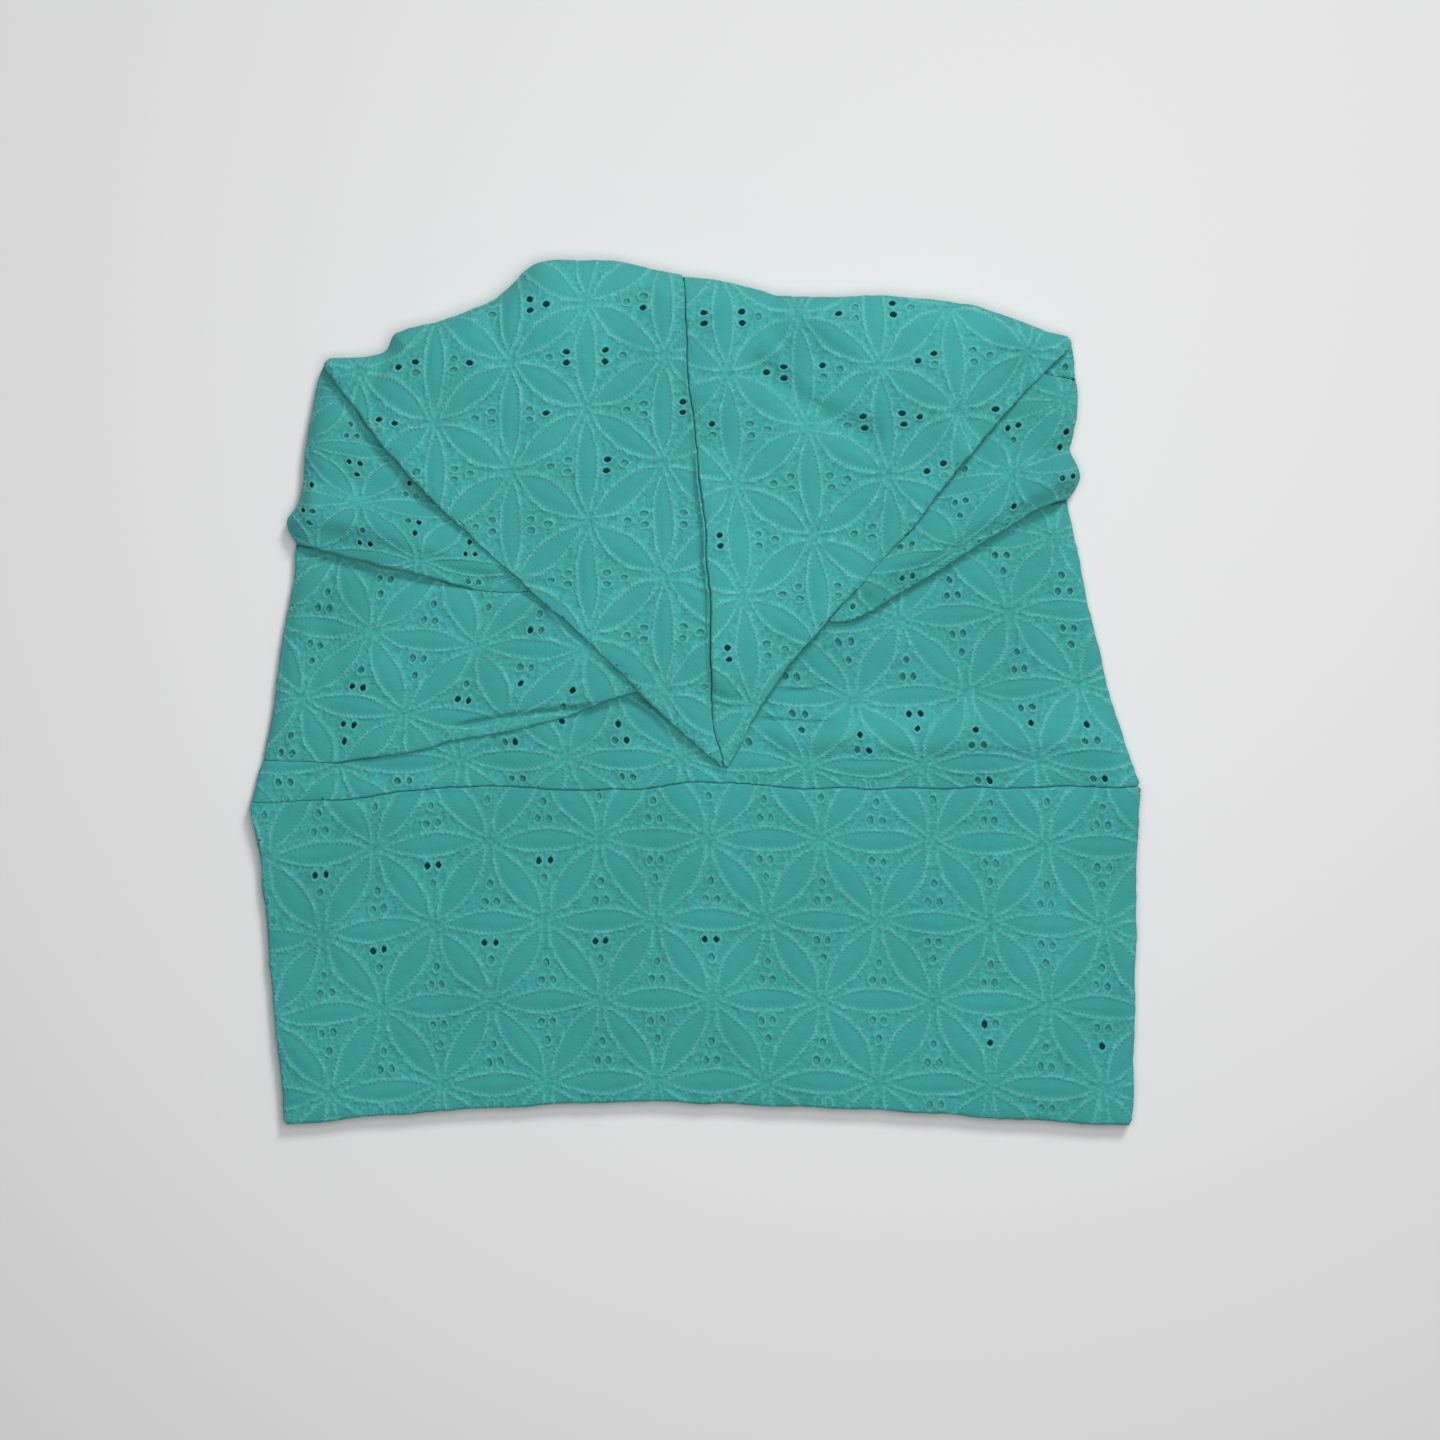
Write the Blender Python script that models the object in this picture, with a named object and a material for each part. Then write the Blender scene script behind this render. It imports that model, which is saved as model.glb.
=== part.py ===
"""Pull-on turban cap of eyelet jersey, laid flat with its front up.

The cap lies in the XY plane with its underside at z = 0. The head opening is at -Y,
the crown at +Y, and +X is the wearer's left. Lengths below are in millimetres.
"""
import math

import bmesh
import bpy
import numpy as np
from mathutils import Vector
from mathutils.geometry import delaunay_2d_cdt

MM = 0.001

# Thickness of the walls and the air between them.
SINGLE_CLOTH = 1.1
DOUBLED_CLOTH = 2.1
GAP = 0.32
SEAM_GAP = 0.4
RIM = 0.6
RIM_SHARE = 0.45

# Spacing of points along an outline and across a piece.
EDGE_STEP = 5.5
BAND_EDGE_STEP = 9.0
FINE_EDGE_STEP = 3.0
FIELD_STEP = 7.0
BAND_STEP = 9.0
CORE_STEP = 10.0
FLAT_STEP = 14.0
FIELD_CLEARANCE = 2.6
FIELD_CLEARANCE_SHARE = 0.4

# Radius over which the cloth turns down at the garment's outline, and where it grows.
SIDE_TURN = 7.0
TOP_TURN = 10.0
TOP_TURN_GROWS = (70.0, 105.0)
BAND_TURN = 4.0

# How far a lower layer runs on beneath the one above it.
UNDERLAP = 7.0
PLEAT_UNDERLAP = 5.0
TUCK_UNDERLAP = 3.0
CLEAR_OF_OUTLINE = (4.0, 10.0)

# Outline and creases, each row a point (x, y).
BAND_BOTTOM = (
    (-121.0, -127.6), (-101.9, -125.6), (-78.3, -123.6), (-42.9, -121.5),
    (-13.4, -120.6), (20.0, -121.8), (57.3, -123.2), (92.7, -125.8), (129.0, -127.6),
)
BAND_RIGHT = ((129.0, -127.6), (129.8, -80.0), (130.4, -42.0), (131.3, -27.6))
BAND_LEFT = ((-131.3, -32.4), (-127.9, -54.0), (-125.0, -88.0), (-121.0, -127.6))
BAND_SEAM = (
    (-131.3, -32.4), (-104.8, -31.5), (-85.3, -29.2), (-69.4, -27.6), (-24.3, -28.7),
    (4.9, -26.3), (30.8, -28.0), (78.0, -28.1), (131.3, -27.6),
)
LEFT_LOWEST = ((-131.3, -32.2), (-129.4, -24.6), (-127.4, -19.6))
LEFT_LOWER = ((-127.4, -19.6), (-124.5, -2.1), (-121.6, 15.6), (-118.7, 33.3), (-118.1, 43.3))
LEFT_ROLL = (
    (-118.1, 43.9), (-120.3, 50.4), (-116.9, 56.2), (-115.4, 68.7), (-112.4, 86.4),
    (-109.8, 96.4),
)
TOP_LEFT = (
    (-109.8, 96.4), (-108.0, 98.4), (-91.2, 100.5), (-88.5, 105.5), (-72.4, 110.6),
    (-59.1, 116.2), (-47.3, 126.2), (-38.0, 127.6), (-20.0, 126.6), (-3.5, 122.8),
)
TOP_RIGHT = (
    (-3.2, 122.6), (8.0, 121.4), (19.5, 118.4), (24.0, 117.0), (57.3, 116.8), (79.0, 114.8),
    (92.7, 110.6), (104.5, 106.4), (110.0, 105.0), (110.9, 102.6),
)
RIGHT_TUCK = ((110.9, 102.6), (112.3, 92.4))
RIGHT_ROLL = (
    (112.6, 91.8), (112.7, 85.0), (110.9, 73.8), (110.6, 71.2), (113.5, 63.8), (109.8, 57.6),
)
RIGHT_LOWER = ((109.7, 56.8), (113.1, 39.2), (118.4, 15.6), (123.4, -4.6), (131.3, -27.4))
FLAP_LEFT_FOLD = (
    (-109.8, 96.4), (-85.9, 65.7), (-67.7, 47.5), (-34.3, 17.4), (-3.4, -12.4), (8.2, -22.4),
)
FLAP_RIGHT_FOLD = (
    (110.9, 102.6), (85.3, 75.5), (60.9, 45.4), (40.5, 23.0), (24.3, 3.5), (9.2, -22.4),
)
CENTRE_SEAM = (
    (-3.4, 122.7), (-1.9, 91.4), (1.6, 61.3), (4.3, 27.4), (5.2, -8.0), (8.6, -22.6),
)
LEFT_PLEAT = (
    (-127.4, -19.6), (-104.8, -20.2), (-83.0, -17.1), (-55.0, -9.6), (-35.0, -3.4), (-8.0, 3.0),
)
LEFT_ROLL_CREASE = (
    (-118.1, 43.9), (-103.3, 40.1), (-84.8, 35.7), (-69.1, 31.5), (-55.0, 29.3), (-41.0, 32.0),
)
RIGHT_ROLL_CREASE = (
    (30.5, 27.0), (42.5, 20.4), (60.9, 29.6), (77.4, 39.5), (99.5, 53.2), (109.8, 57.6),
)
TUCK_LIP = ((96.0, 97.2), (101.9, 94.6), (112.6, 91.8))
CORE_SIDES = (
    (124.0, -22.0), (112.5, 10.0), (104.5, 48.0), (104.0, 72.0), (103.0, 94.0), (84.0, 105.0),
    (55.0, 109.0), (10.0, 112.0), (-20.0, 118.0), (-42.0, 117.5), (-56.0, 108.0), (-74.0, 102.0),
    (-90.0, 94.0), (-103.0, 89.0), (-109.0, 60.0), (-111.0, 36.0), (-117.0, 4.0), (-122.0, -24.0),
)
CORE_FOOT = ((-122.0, -25.0), (-60.0, -23.0), (0.0, -21.5), (60.0, -22.5), (124.0, -23.0))


# Where each front stretch ends beneath the flap: lowest and highest y, or points.
SIDE_UNDER_FLAP = (5.0, 30.0)
LEFT_ROLL_UNDER_FLAP = (34.0, 90.0)
RIGHT_ROLL_UNDER_FLAP = (30.0, 90.0)
TUCK_UNDER_FLAP = ((104.0, 103.4), (92.0, 98.0))

# Height of each cloth's upper side: base, rise per mm of y above the band seam,
# and the height that the rise stops at.
FRONT_PANEL_LEVEL = (4.4, 0.012, 6.0)
FLAP_LEVEL = (7.3, 0.046, 12.3)
TUCK_LEVEL = 4.0
BAND_LEVEL = 4.6
SEAM_Y = -28.0
STEP_UP = SINGLE_CLOTH + GAP + 0.1
LOWEST_FRONT = SINGLE_CLOTH + GAP
FOLD_TOP = LOWEST_FRONT + SINGLE_CLOTH

# The hidden core: radii searched for the lowest cloth above, its rounding and rim height.
CORE_REACH = (4.0, 8.0, 11.0)
CORE_TURN = 4.0
CORE_RIM = 0.7

# Where a pleat begins to stand off the cloth beneath, and where it is fully off.
LEFT_PLEAT_STARTS = (-112.0, -92.0)
LEFT_ROLL_ENDS = (-60.0, -84.0)
PLEAT_COVERS = (-96.0, -78.0)
ROLL_COVERS = (-72.0, -90.0)

# Soft hills and hollows: x, y, height, spread along x, spread along y.
FRONT_HILLS = (
    (-95.0, 12.0, 0.7, 26.0, 22.0),
    (75.0, 8.0, 0.6, 30.0, 20.0),
    (60.0, -12.0, 0.4, 22.0, 7.0),
)
ROLL_HILLS = (
    (-113.0, 52.0, 1.5, 12.0, 7.0),
    (-100.0, 62.0, 0.5, 12.0, 14.0),
)
RIGHT_ROLL_HILLS = (
    (106.0, 64.0, 1.8, 14.0, 7.0),
    (88.0, 58.0, 0.8, 16.0, 10.0),
    (106.0, 82.0, 0.9, 10.0, 8.0),
)
FLAP_HILLS = (
    (-38.0, 106.0, 2.6, 22.0, 16.0),
    (-70.0, 98.0, 0.9, 18.0, 12.0),
    (8.0, 96.0, 1.4, 12.0, 24.0),
    (66.0, 92.0, 1.5, 26.0, 16.0),
    (36.0, 94.0, -1.5, 9.0, 13.0),
    (-97.0, 93.0, -0.8, 8.0, 8.0),
)
BAND_WAVES = (
    (-60.0, -80.0, 0.35, 30.0, 20.0),
    (40.0, -95.0, 0.3, 34.0, 16.0),
    (0.0, -34.0, 0.35, 150.0, 5.0),
)
CORNER_LIFTS = (
    (-109.8, 96.4, 1.7, 15.0, 13.0),
    (110.9, 98.6, 1.7, 15.0, 13.0),
)

# Linear base colours and roughness of the jersey as it reads on each part.
JERSEY = {
    "band": (0.060, 0.330, 0.316),
    "crown": (0.056, 0.318, 0.303),
    "flap": (0.071, 0.372, 0.352),
    "inside": (0.040, 0.240, 0.228),
}
ROUGHNESS = 0.85


def clear_scene():
    for thing in list(bpy.data.objects):
        bpy.data.objects.remove(thing, do_unlink=True)


def smooth_curve(points, step=EDGE_STEP):
    """Points at even steps along a smooth curve through the named ones."""
    knots = np.array(points, dtype=float)
    ends = np.vstack((2 * knots[0] - knots[1], knots, 2 * knots[-1] - knots[-2]))
    dense = []
    for k in range(1, len(ends) - 2):
        before, start, end, after = ends[k - 1:k + 3]
        span = np.linalg.norm(end - start)
        lead = (end - before) / (np.linalg.norm(end - start) + np.linalg.norm(start - before))
        tail = (after - start) / (np.linalg.norm(after - end) + np.linalg.norm(end - start))
        for t in np.linspace(0.0, 1.0, 24, endpoint=False):
            dense.append(
                (2 * t**3 - 3 * t**2 + 1) * start
                + (t**3 - 2 * t**2 + t) * span * lead
                + (3 * t**2 - 2 * t**3) * end
                + (t**3 - t**2) * span * tail
            )
    dense.append(knots[-1])
    dense = np.array(dense)
    travelled = np.concatenate(((0.0,), np.cumsum(np.linalg.norm(np.diff(dense, axis=0), axis=1))))
    count = max(2, int(round(travelled[-1] / step)) + 1)
    marks = np.linspace(0.0, travelled[-1], count)
    return np.column_stack([np.interp(marks, travelled, dense[:, axis]) for axis in (0, 1)])


def loop_of(*curves):
    """One closed outline from curves that follow each other head to tail."""
    points = []
    for curve in curves:
        for point in curve:
            if not points or np.linalg.norm(point - points[-1]) > 0.7:
                points.append(point)
    while np.linalg.norm(points[0] - points[-1]) < 0.7:
        points.pop()
    outline = np.array(points)
    following = np.roll(outline, -1, axis=0)
    area = np.sum(outline[:, 0] * following[:, 1] - following[:, 0] * outline[:, 1])
    return outline if area > 0 else outline[::-1]


def shifted(curve, distance):
    """The same curve moved sideways to its left."""
    along = np.gradient(curve, axis=0)
    along /= np.linalg.norm(along, axis=1)[:, None]
    return curve + distance * np.column_stack((-along[:, 1], along[:, 0]))


def distance_to(outline, points, closed=True):
    """Distance of each point to the nearest edge of an outline."""
    starts = outline if closed else outline[:-1]
    ends = np.roll(outline, -1, axis=0) if closed else outline[1:]
    nearest = np.full(len(points), np.inf)
    for start, end in zip(starts, ends):
        edge = end - start
        share = np.clip((points - start) @ edge / max(edge @ edge, 1e-9), 0.0, 1.0)
        gap = points - (start + share[:, None] * edge)
        nearest = np.minimum(nearest, np.linalg.norm(gap, axis=1))
    return nearest


def inside(outline, points):
    """True for each point within an outline."""
    within = np.zeros(len(points), dtype=bool)
    following = np.roll(outline, -1, axis=0)
    for (x0, y0), (x1, y1) in zip(outline, following):
        if y0 == y1:
            continue
        crosses = (y0 > points[:, 1]) != (y1 > points[:, 1])
        reach = x0 + (points[:, 1] - y0) * (x1 - x0) / (y1 - y0)
        within ^= crosses & (points[:, 0] < reach)
    return within


def inset(outline, distance):
    """The outline moved inwards, with its corners kept."""
    before = outline - np.roll(outline, 1, axis=0)
    after = np.roll(outline, -1, axis=0) - outline
    before /= np.linalg.norm(before, axis=1)[:, None]
    after /= np.linalg.norm(after, axis=1)[:, None]
    left_before = np.column_stack((-before[:, 1], before[:, 0]))
    left_after = np.column_stack((-after[:, 1], after[:, 0]))
    bisector = left_before + left_after
    bisector /= np.maximum(np.linalg.norm(bisector, axis=1)[:, None], 1e-6)
    cosine = np.maximum(np.sum(bisector * left_before, axis=1), 0.5)
    return outline + bisector * (distance / cosine)[:, None]


def blend(value, start, end):
    """Smooth step from 0 at start to 1 at end."""
    share = np.clip((value - start) / (end - start), 0.0, 1.0)
    return share * share * (3.0 - 2.0 * share)


def hills(rows, points):
    """Sum of soft hills and hollows at each point."""
    total = np.zeros(len(points))
    for x, y, height, wide, deep in rows:
        total += height * np.exp(-((points[:, 0] - x) / wide)**2 - ((points[:, 1] - y) / deep)**2)
    return total


def level(rule, points):
    base, rise, top = rule
    return np.minimum(base + rise * np.maximum(points[:, 1] - SEAM_Y, 0.0), top)


class Cap:
    """Curves, outlines and heights that the pieces share."""

    def __init__(self):
        self.seam = smooth_curve(BAND_SEAM)
        self.left_lowest = smooth_curve(LEFT_LOWEST)
        self.left_lower = smooth_curve(LEFT_LOWER)
        self.left_roll = smooth_curve(LEFT_ROLL, FINE_EDGE_STEP)
        self.top_left = smooth_curve(TOP_LEFT)
        self.top_right = smooth_curve(TOP_RIGHT)
        self.right_tuck = smooth_curve(RIGHT_TUCK, FINE_EDGE_STEP)
        self.right_roll = smooth_curve(RIGHT_ROLL, FINE_EDGE_STEP)
        self.right_lower = smooth_curve(RIGHT_LOWER)
        self.left_fold = smooth_curve(FLAP_LEFT_FOLD)
        self.right_fold = smooth_curve(FLAP_RIGHT_FOLD)
        self.centre_seam = smooth_curve(CENTRE_SEAM)
        self.left_pleat = smooth_curve(LEFT_PLEAT)
        self.left_crease = smooth_curve(LEFT_ROLL_CREASE)
        self.right_crease = smooth_curve(RIGHT_ROLL_CREASE)
        self.tuck_lip = smooth_curve(TUCK_LIP, FINE_EDGE_STEP)
        self.crown_seam = self.seam + (0.0, GAP / 2)
        self.crown = loop_of(
            self.crown_seam[::-1], self.left_lowest, self.left_lower, self.left_roll,
            self.top_left, self.top_right, self.right_tuck, self.right_roll, self.right_lower,
        )
        self.skirt = np.vstack((
            self.left_lowest, self.left_lower, self.left_roll, self.top_left,
            self.top_right, self.right_tuck, self.right_roll, self.right_lower,
        ))
        band_left = smooth_curve(BAND_LEFT, BAND_EDGE_STEP)
        band_bottom = smooth_curve(BAND_BOTTOM, BAND_EDGE_STEP)
        band_right = smooth_curve(BAND_RIGHT, BAND_EDGE_STEP)
        band_seam = smooth_curve(BAND_SEAM, BAND_EDGE_STEP) - (0.0, GAP / 2)
        self.band = loop_of(band_bottom, band_right, band_seam[::-1], band_left)
        self.band_skirt = np.vstack((band_left, band_bottom, band_right))

    def turn(self, points):
        """Share of the full height that the cloth has reached, from the outline inwards."""
        radius = SIDE_TURN + (TOP_TURN - SIDE_TURN) * blend(points[:, 1], *TOP_TURN_GROWS)
        share = np.clip(distance_to(self.skirt, points, closed=False) / radius, 0.0, 1.0)
        return np.sqrt(1.0 - (1.0 - share)**2)

    def band_turn(self, points):
        gap = distance_to(self.band_skirt, points, closed=False)
        share = np.clip(gap / BAND_TURN, 0.0, 1.0)
        return np.sqrt(1.0 - (1.0 - share)**2)

    def clear_share(self, points):
        """0 near the garment's outline, where all layers meet, and 1 well inside it."""
        gap = distance_to(self.skirt, points, closed=False)
        return blend(gap, *CLEAR_OF_OUTLINE)

    def draped(self, height, fold_height, points):
        return fold_height + (height - fold_height) * self.turn(points)

    def front_height(self, points):
        return level(FRONT_PANEL_LEVEL, points) + hills(FRONT_HILLS, points)

    def side_height(self, points):
        lift = blend(points[:, 0], *LEFT_PLEAT_STARTS)
        return self.front_height(points) + STEP_UP * lift

    def left_roll_height(self, points):
        lift = blend(points[:, 0], *LEFT_ROLL_ENDS)
        return self.side_height(points) + STEP_UP * lift + hills(ROLL_HILLS, points)

    def right_roll_height(self, points):
        return self.front_height(points) + STEP_UP + hills(RIGHT_ROLL_HILLS, points)

    def flap_height(self, points):
        return level(FLAP_LEVEL, points) + hills(FLAP_HILLS, points)

    def front_top(self, points):
        return self.draped(self.front_height(points), FOLD_TOP, points)

    def side_top(self, points):
        return self.draped(self.side_height(points), FOLD_TOP, points)

    def left_roll_top(self, points):
        return self.draped(self.left_roll_height(points), FOLD_TOP, points)

    def right_roll_top(self, points):
        return self.draped(self.right_roll_height(points), FOLD_TOP, points)

    def tuck_top(self, points):
        return self.draped(np.full(len(points), TUCK_LEVEL), FOLD_TOP, points)

    def flap_lowest(self, points):
        """Underside at the outline, lifted at both corners where other layers end beneath."""
        return LOWEST_FRONT + hills(CORNER_LIFTS, points)

    def flap_top(self, points):
        fold = self.flap_lowest(points) + DOUBLED_CLOTH
        return self.draped(self.flap_height(points), fold, points)

    def band_top(self, points):
        height = BAND_LEVEL + hills(BAND_WAVES, points)
        fold = DOUBLED_CLOTH * 2 + GAP
        return fold + (height - fold) * self.band_turn(points)


def hung_below(top, thickness, lowest):
    """Underside of a cloth: its upper side less the thickness, never below what it lies on."""
    def underside(points):
        return np.maximum(top(points) - thickness, lowest(points))
    return underside


def flat(height):
    return lambda points: np.full(len(points), height)


def field_points(outline, step, clearance):
    """Points of a triangular grid, one grid for all pieces, well inside an outline."""
    low = np.floor(outline.min(axis=0) / step) * step - step
    high = outline.max(axis=0) + step
    row_step = step * math.sqrt(3.0) / 2.0
    first_row = int(math.floor(low[1] / row_step))
    last_row = int(math.ceil(high[1] / row_step))
    grid = []
    for row in range(first_row, last_row + 1):
        shift = step / 2 if row % 2 else 0.0
        for column in range(int(low[0] / step) - 1, int(high[0] / step) + 2):
            grid.append((column * step + shift, row * row_step))
    grid = np.array(grid)
    keep = inside(outline, grid)
    grid = grid[keep]
    return grid[distance_to(outline, grid) > clearance]


def triangulated(outline, step):
    """Corner positions, the share of them on the rim, and triangles of one piece."""
    ring = inset(outline, RIM)
    clearance = max(FIELD_CLEARANCE, step * FIELD_CLEARANCE_SHARE)
    field = field_points(outline, step, clearance)
    points = np.vstack((outline, ring, field))
    count = len(outline)
    edges = [(k, (k + 1) % count) for k in range(count)]
    edges += [(count + k, count + (k + 1) % count) for k in range(count)]
    found, _, faces, origin, _, _ = delaunay_2d_cdt(
        [Vector(point) for point in points], edges, [], 1, 1e-5
    )
    corners = np.array([(point.x, point.y) for point in found])
    on_rim = np.array([any(k < count for k in source) for source in origin])
    triangles = []
    for face in faces:
        centre = corners[list(face)].mean(axis=0)[None, :]
        if inside(outline, centre)[0]:
            triangles.append(tuple(face))
    return corners, on_rim, triangles


def wall(name, outline, top, bottom, colour, step=FIELD_STEP, flat_bottom=False):
    """A closed cloth wall between two heights, with a rounded rim."""
    corners, on_rim, triangles = triangulated(outline, step)
    upper = top(corners)
    lower = bottom(corners)
    middle = (upper + lower) / 2
    half = (upper - lower) / 2
    upper = np.where(on_rim, middle + half * RIM_SHARE, upper)
    lower = np.where(on_rim, middle - half * RIM_SHARE, lower)
    mesh = bpy.data.meshes.new(name)
    shape = bmesh.new()
    above = [shape.verts.new((x * MM, y * MM, z * MM)) for (x, y), z in zip(corners, upper)]
    below = [shape.verts.new((x * MM, y * MM, z * MM)) for (x, y), z in zip(corners, lower)]
    uses = {}
    for triangle in triangles:
        for first, second in zip(triangle, triangle[1:] + triangle[:1]):
            uses[(first, second)] = True
        shape.faces.new([above[k] for k in triangle])
        shape.faces.new([below[k] for k in reversed(triangle)])
    for first, second in uses:
        if (second, first) not in uses:
            shape.faces.new((above[second], above[first], below[first], below[second]))
    bmesh.ops.recalc_face_normals(shape, faces=shape.faces[:])
    shape.to_mesh(mesh)
    shape.free()
    piece = bpy.data.objects.new(name, mesh)
    bpy.context.scene.collection.objects.link(piece)
    mesh.materials.append(jersey(name, colour))
    return piece


def jersey(name, colour):
    material = bpy.data.materials.new("jersey_" + name)
    material.use_nodes = True
    surface = material.node_tree.nodes["Principled BSDF"]
    surface.inputs["Base Color"].default_value = JERSEY[colour] + (1.0,)
    surface.inputs["Roughness"].default_value = ROUGHNESS
    surface.inputs["Metallic"].default_value = 0.0
    return material


def stretch(curve, low, high):
    """The part of a curve whose y lies between two values."""
    return curve[(curve[:, 1] > low) & (curve[:, 1] < high)]


def beneath(curve, share, underlap):
    """A lower cloth's edge: just short of the crease at share 0, well beneath it at 1."""
    along = np.gradient(curve, axis=0)
    along /= np.linalg.norm(along, axis=1)[:, None]
    offset = (underlap + SEAM_GAP) * share - SEAM_GAP
    return curve + offset[:, None] * np.column_stack((-along[:, 1], along[:, 0]))


def build_band(cap):
    wall("band_back", cap.band, flat(DOUBLED_CLOTH), flat(0.0), "inside", step=FLAT_STEP)
    lowest = flat(DOUBLED_CLOTH + GAP)
    wall("band_front", cap.band, cap.band_top,
         hung_below(cap.band_top, DOUBLED_CLOTH, lowest), "band", step=BAND_STEP)


def build_crown_front(cap):
    """The stretches of the crown that show beside and below the flap."""
    pleat_share = blend(cap.left_pleat[:, 0], *PLEAT_COVERS)
    pleat_edge = beneath(cap.left_pleat, pleat_share, PLEAT_UNDERLAP)
    crease_edge = beneath(cap.right_crease, cap.clear_share(cap.right_crease), PLEAT_UNDERLAP)
    panel = loop_of(
        cap.crown_seam, cap.right_lower[::-1], crease_edge[::-1], pleat_edge[::-1],
        cap.left_lowest[::-1],
    )

    under_flap = shifted(cap.left_fold, UNDERLAP)
    side_end = stretch(under_flap, *SIDE_UNDER_FLAP)
    roll_share = blend(cap.left_crease[:, 0], *ROLL_COVERS) * cap.clear_share(cap.left_crease)
    roll_edge = beneath(cap.left_crease, roll_share, PLEAT_UNDERLAP)
    side = loop_of(cap.left_pleat, side_end[::-1], roll_edge[::-1], cap.left_lower[::-1])

    roll_end = stretch(under_flap, *LEFT_ROLL_UNDER_FLAP)
    left_roll = loop_of(cap.left_crease, roll_end[::-1], cap.left_roll[::-1])

    under_right = shifted(cap.right_fold, -UNDERLAP)
    right_end = stretch(under_right, *RIGHT_ROLL_UNDER_FLAP)
    right_roll = loop_of(cap.right_crease, cap.right_roll[::-1], cap.tuck_lip[::-1], right_end)

    lip = cap.tuck_lip[::-1]
    tuck_low = beneath(lip, cap.clear_share(lip), TUCK_UNDERLAP)[::-1]
    tuck = loop_of(tuck_low, cap.right_tuck[::-1], np.array(TUCK_UNDER_FLAP))

    covers = []
    for name, outline, top in (
        ("crown_front_lower", panel, cap.front_top),
        ("crown_front_left", side, cap.side_top),
        ("crown_left_roll", left_roll, cap.left_roll_top),
        ("crown_right_roll", right_roll, cap.right_roll_top),
        ("crown_right_tuck", tuck, cap.tuck_top),
    ):
        underside = hung_below(top, SINGLE_CLOTH, flat(LOWEST_FRONT))
        wall(name, outline, top, underside, "crown")
        covers.append((outline, underside))
    return tuple(covers)


def build_flap(cap):
    bottom = hung_below(cap.flap_top, DOUBLED_CLOTH, cap.flap_lowest)
    seam_left = cap.centre_seam - (GAP / 2, 0.0)
    seam_right = cap.centre_seam + (GAP / 2, 0.0)
    left = loop_of(cap.left_fold, seam_left[-2:0:-1], cap.top_left[-1:0:-1] - (GAP / 2, 0.0))
    right = loop_of(seam_right, cap.right_fold[-2::-1], cap.top_right[::-1])
    wall("flap_left", left, cap.flap_top, bottom, "flap")
    wall("flap_right", right, cap.flap_top, bottom, "flap")
    return ((left, bottom), (right, bottom))


def build_core(cap, covers):
    """The hidden folded layers as one rounded solid below every cloth that shows."""
    outline = loop_of(smooth_curve(CORE_FOOT, 8.0), smooth_curve(CORE_SIDES, 8.0))
    turns = np.linspace(0.0, 2.0 * math.pi, 12, endpoint=False)
    around = [(reach * math.cos(a), reach * math.sin(a)) for reach in CORE_REACH for a in turns]

    def ceiling(points):
        lowest = np.full(len(points), FLAP_LEVEL[2])
        for shift in [(0.0, 0.0)] + around:
            sample = points + shift
            for cover, underside in covers:
                height = np.where(inside(cover, sample), underside(sample), np.inf)
                lowest = np.minimum(lowest, height)
        return lowest - GAP

    def top(points):
        share = np.clip(distance_to(outline, points) / CORE_TURN, 0.0, 1.0)
        base = LOWEST_FRONT + CORE_RIM
        return base + (np.maximum(ceiling(points), base) - base) * np.sqrt(1 - (1 - share)**2)

    wall("folded_layers", outline, top, flat(LOWEST_FRONT), "inside", step=CORE_STEP)


def build_crown(cap):
    wall("crown_back", cap.crown, flat(SINGLE_CLOTH), flat(0.0), "inside", step=FLAT_STEP)
    covers = build_crown_front(cap) + build_flap(cap)
    build_core(cap, covers)


def main():
    clear_scene()
    cap = Cap()
    build_band(cap)
    build_crown(cap)


main()
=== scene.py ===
"""Looks of a pull-on turban cap of eyelet jersey, laid flat with its front up.

Lengths are in millimetres until a mesh is finished. Places in the cloth's pattern are
read off the photograph in its own pixels and turned into millimetres by from_photo.
"""

import math

import bmesh
import bpy
import numpy as np
from bpy.props import FloatProperty, FloatVectorProperty, PointerProperty
from mathutils import Matrix, Vector


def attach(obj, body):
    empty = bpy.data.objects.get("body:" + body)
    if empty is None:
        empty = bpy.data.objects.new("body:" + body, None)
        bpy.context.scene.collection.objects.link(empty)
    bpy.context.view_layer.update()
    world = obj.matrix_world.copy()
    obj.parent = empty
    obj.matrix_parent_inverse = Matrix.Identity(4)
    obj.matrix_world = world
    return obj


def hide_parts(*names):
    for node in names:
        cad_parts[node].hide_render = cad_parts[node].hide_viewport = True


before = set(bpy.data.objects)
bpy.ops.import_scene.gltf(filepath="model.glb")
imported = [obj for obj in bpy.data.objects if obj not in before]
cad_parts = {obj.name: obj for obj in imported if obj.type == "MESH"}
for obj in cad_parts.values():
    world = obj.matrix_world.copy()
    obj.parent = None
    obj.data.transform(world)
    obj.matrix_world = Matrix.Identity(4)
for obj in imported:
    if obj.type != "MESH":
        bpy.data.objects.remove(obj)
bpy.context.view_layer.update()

bl_info = {
    "name": "Eyelet Jersey Turban Cap",
    "version": (1, 0, 0),
    "blender": (4, 5, 0),
    "location": "3D View > Sidebar > Turban Cap",
    "description": "Cuts, drapes and finishes the cloth of a turban cap laid flat",
    "category": "Add Mesh",
}

MM = 0.001
ROOT = "root"
PHOTO_MIDDLE = (695.5, 693.0)
MM_PER_PIXEL = 0.2948
PHOTO_SIZE = 1440

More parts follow.
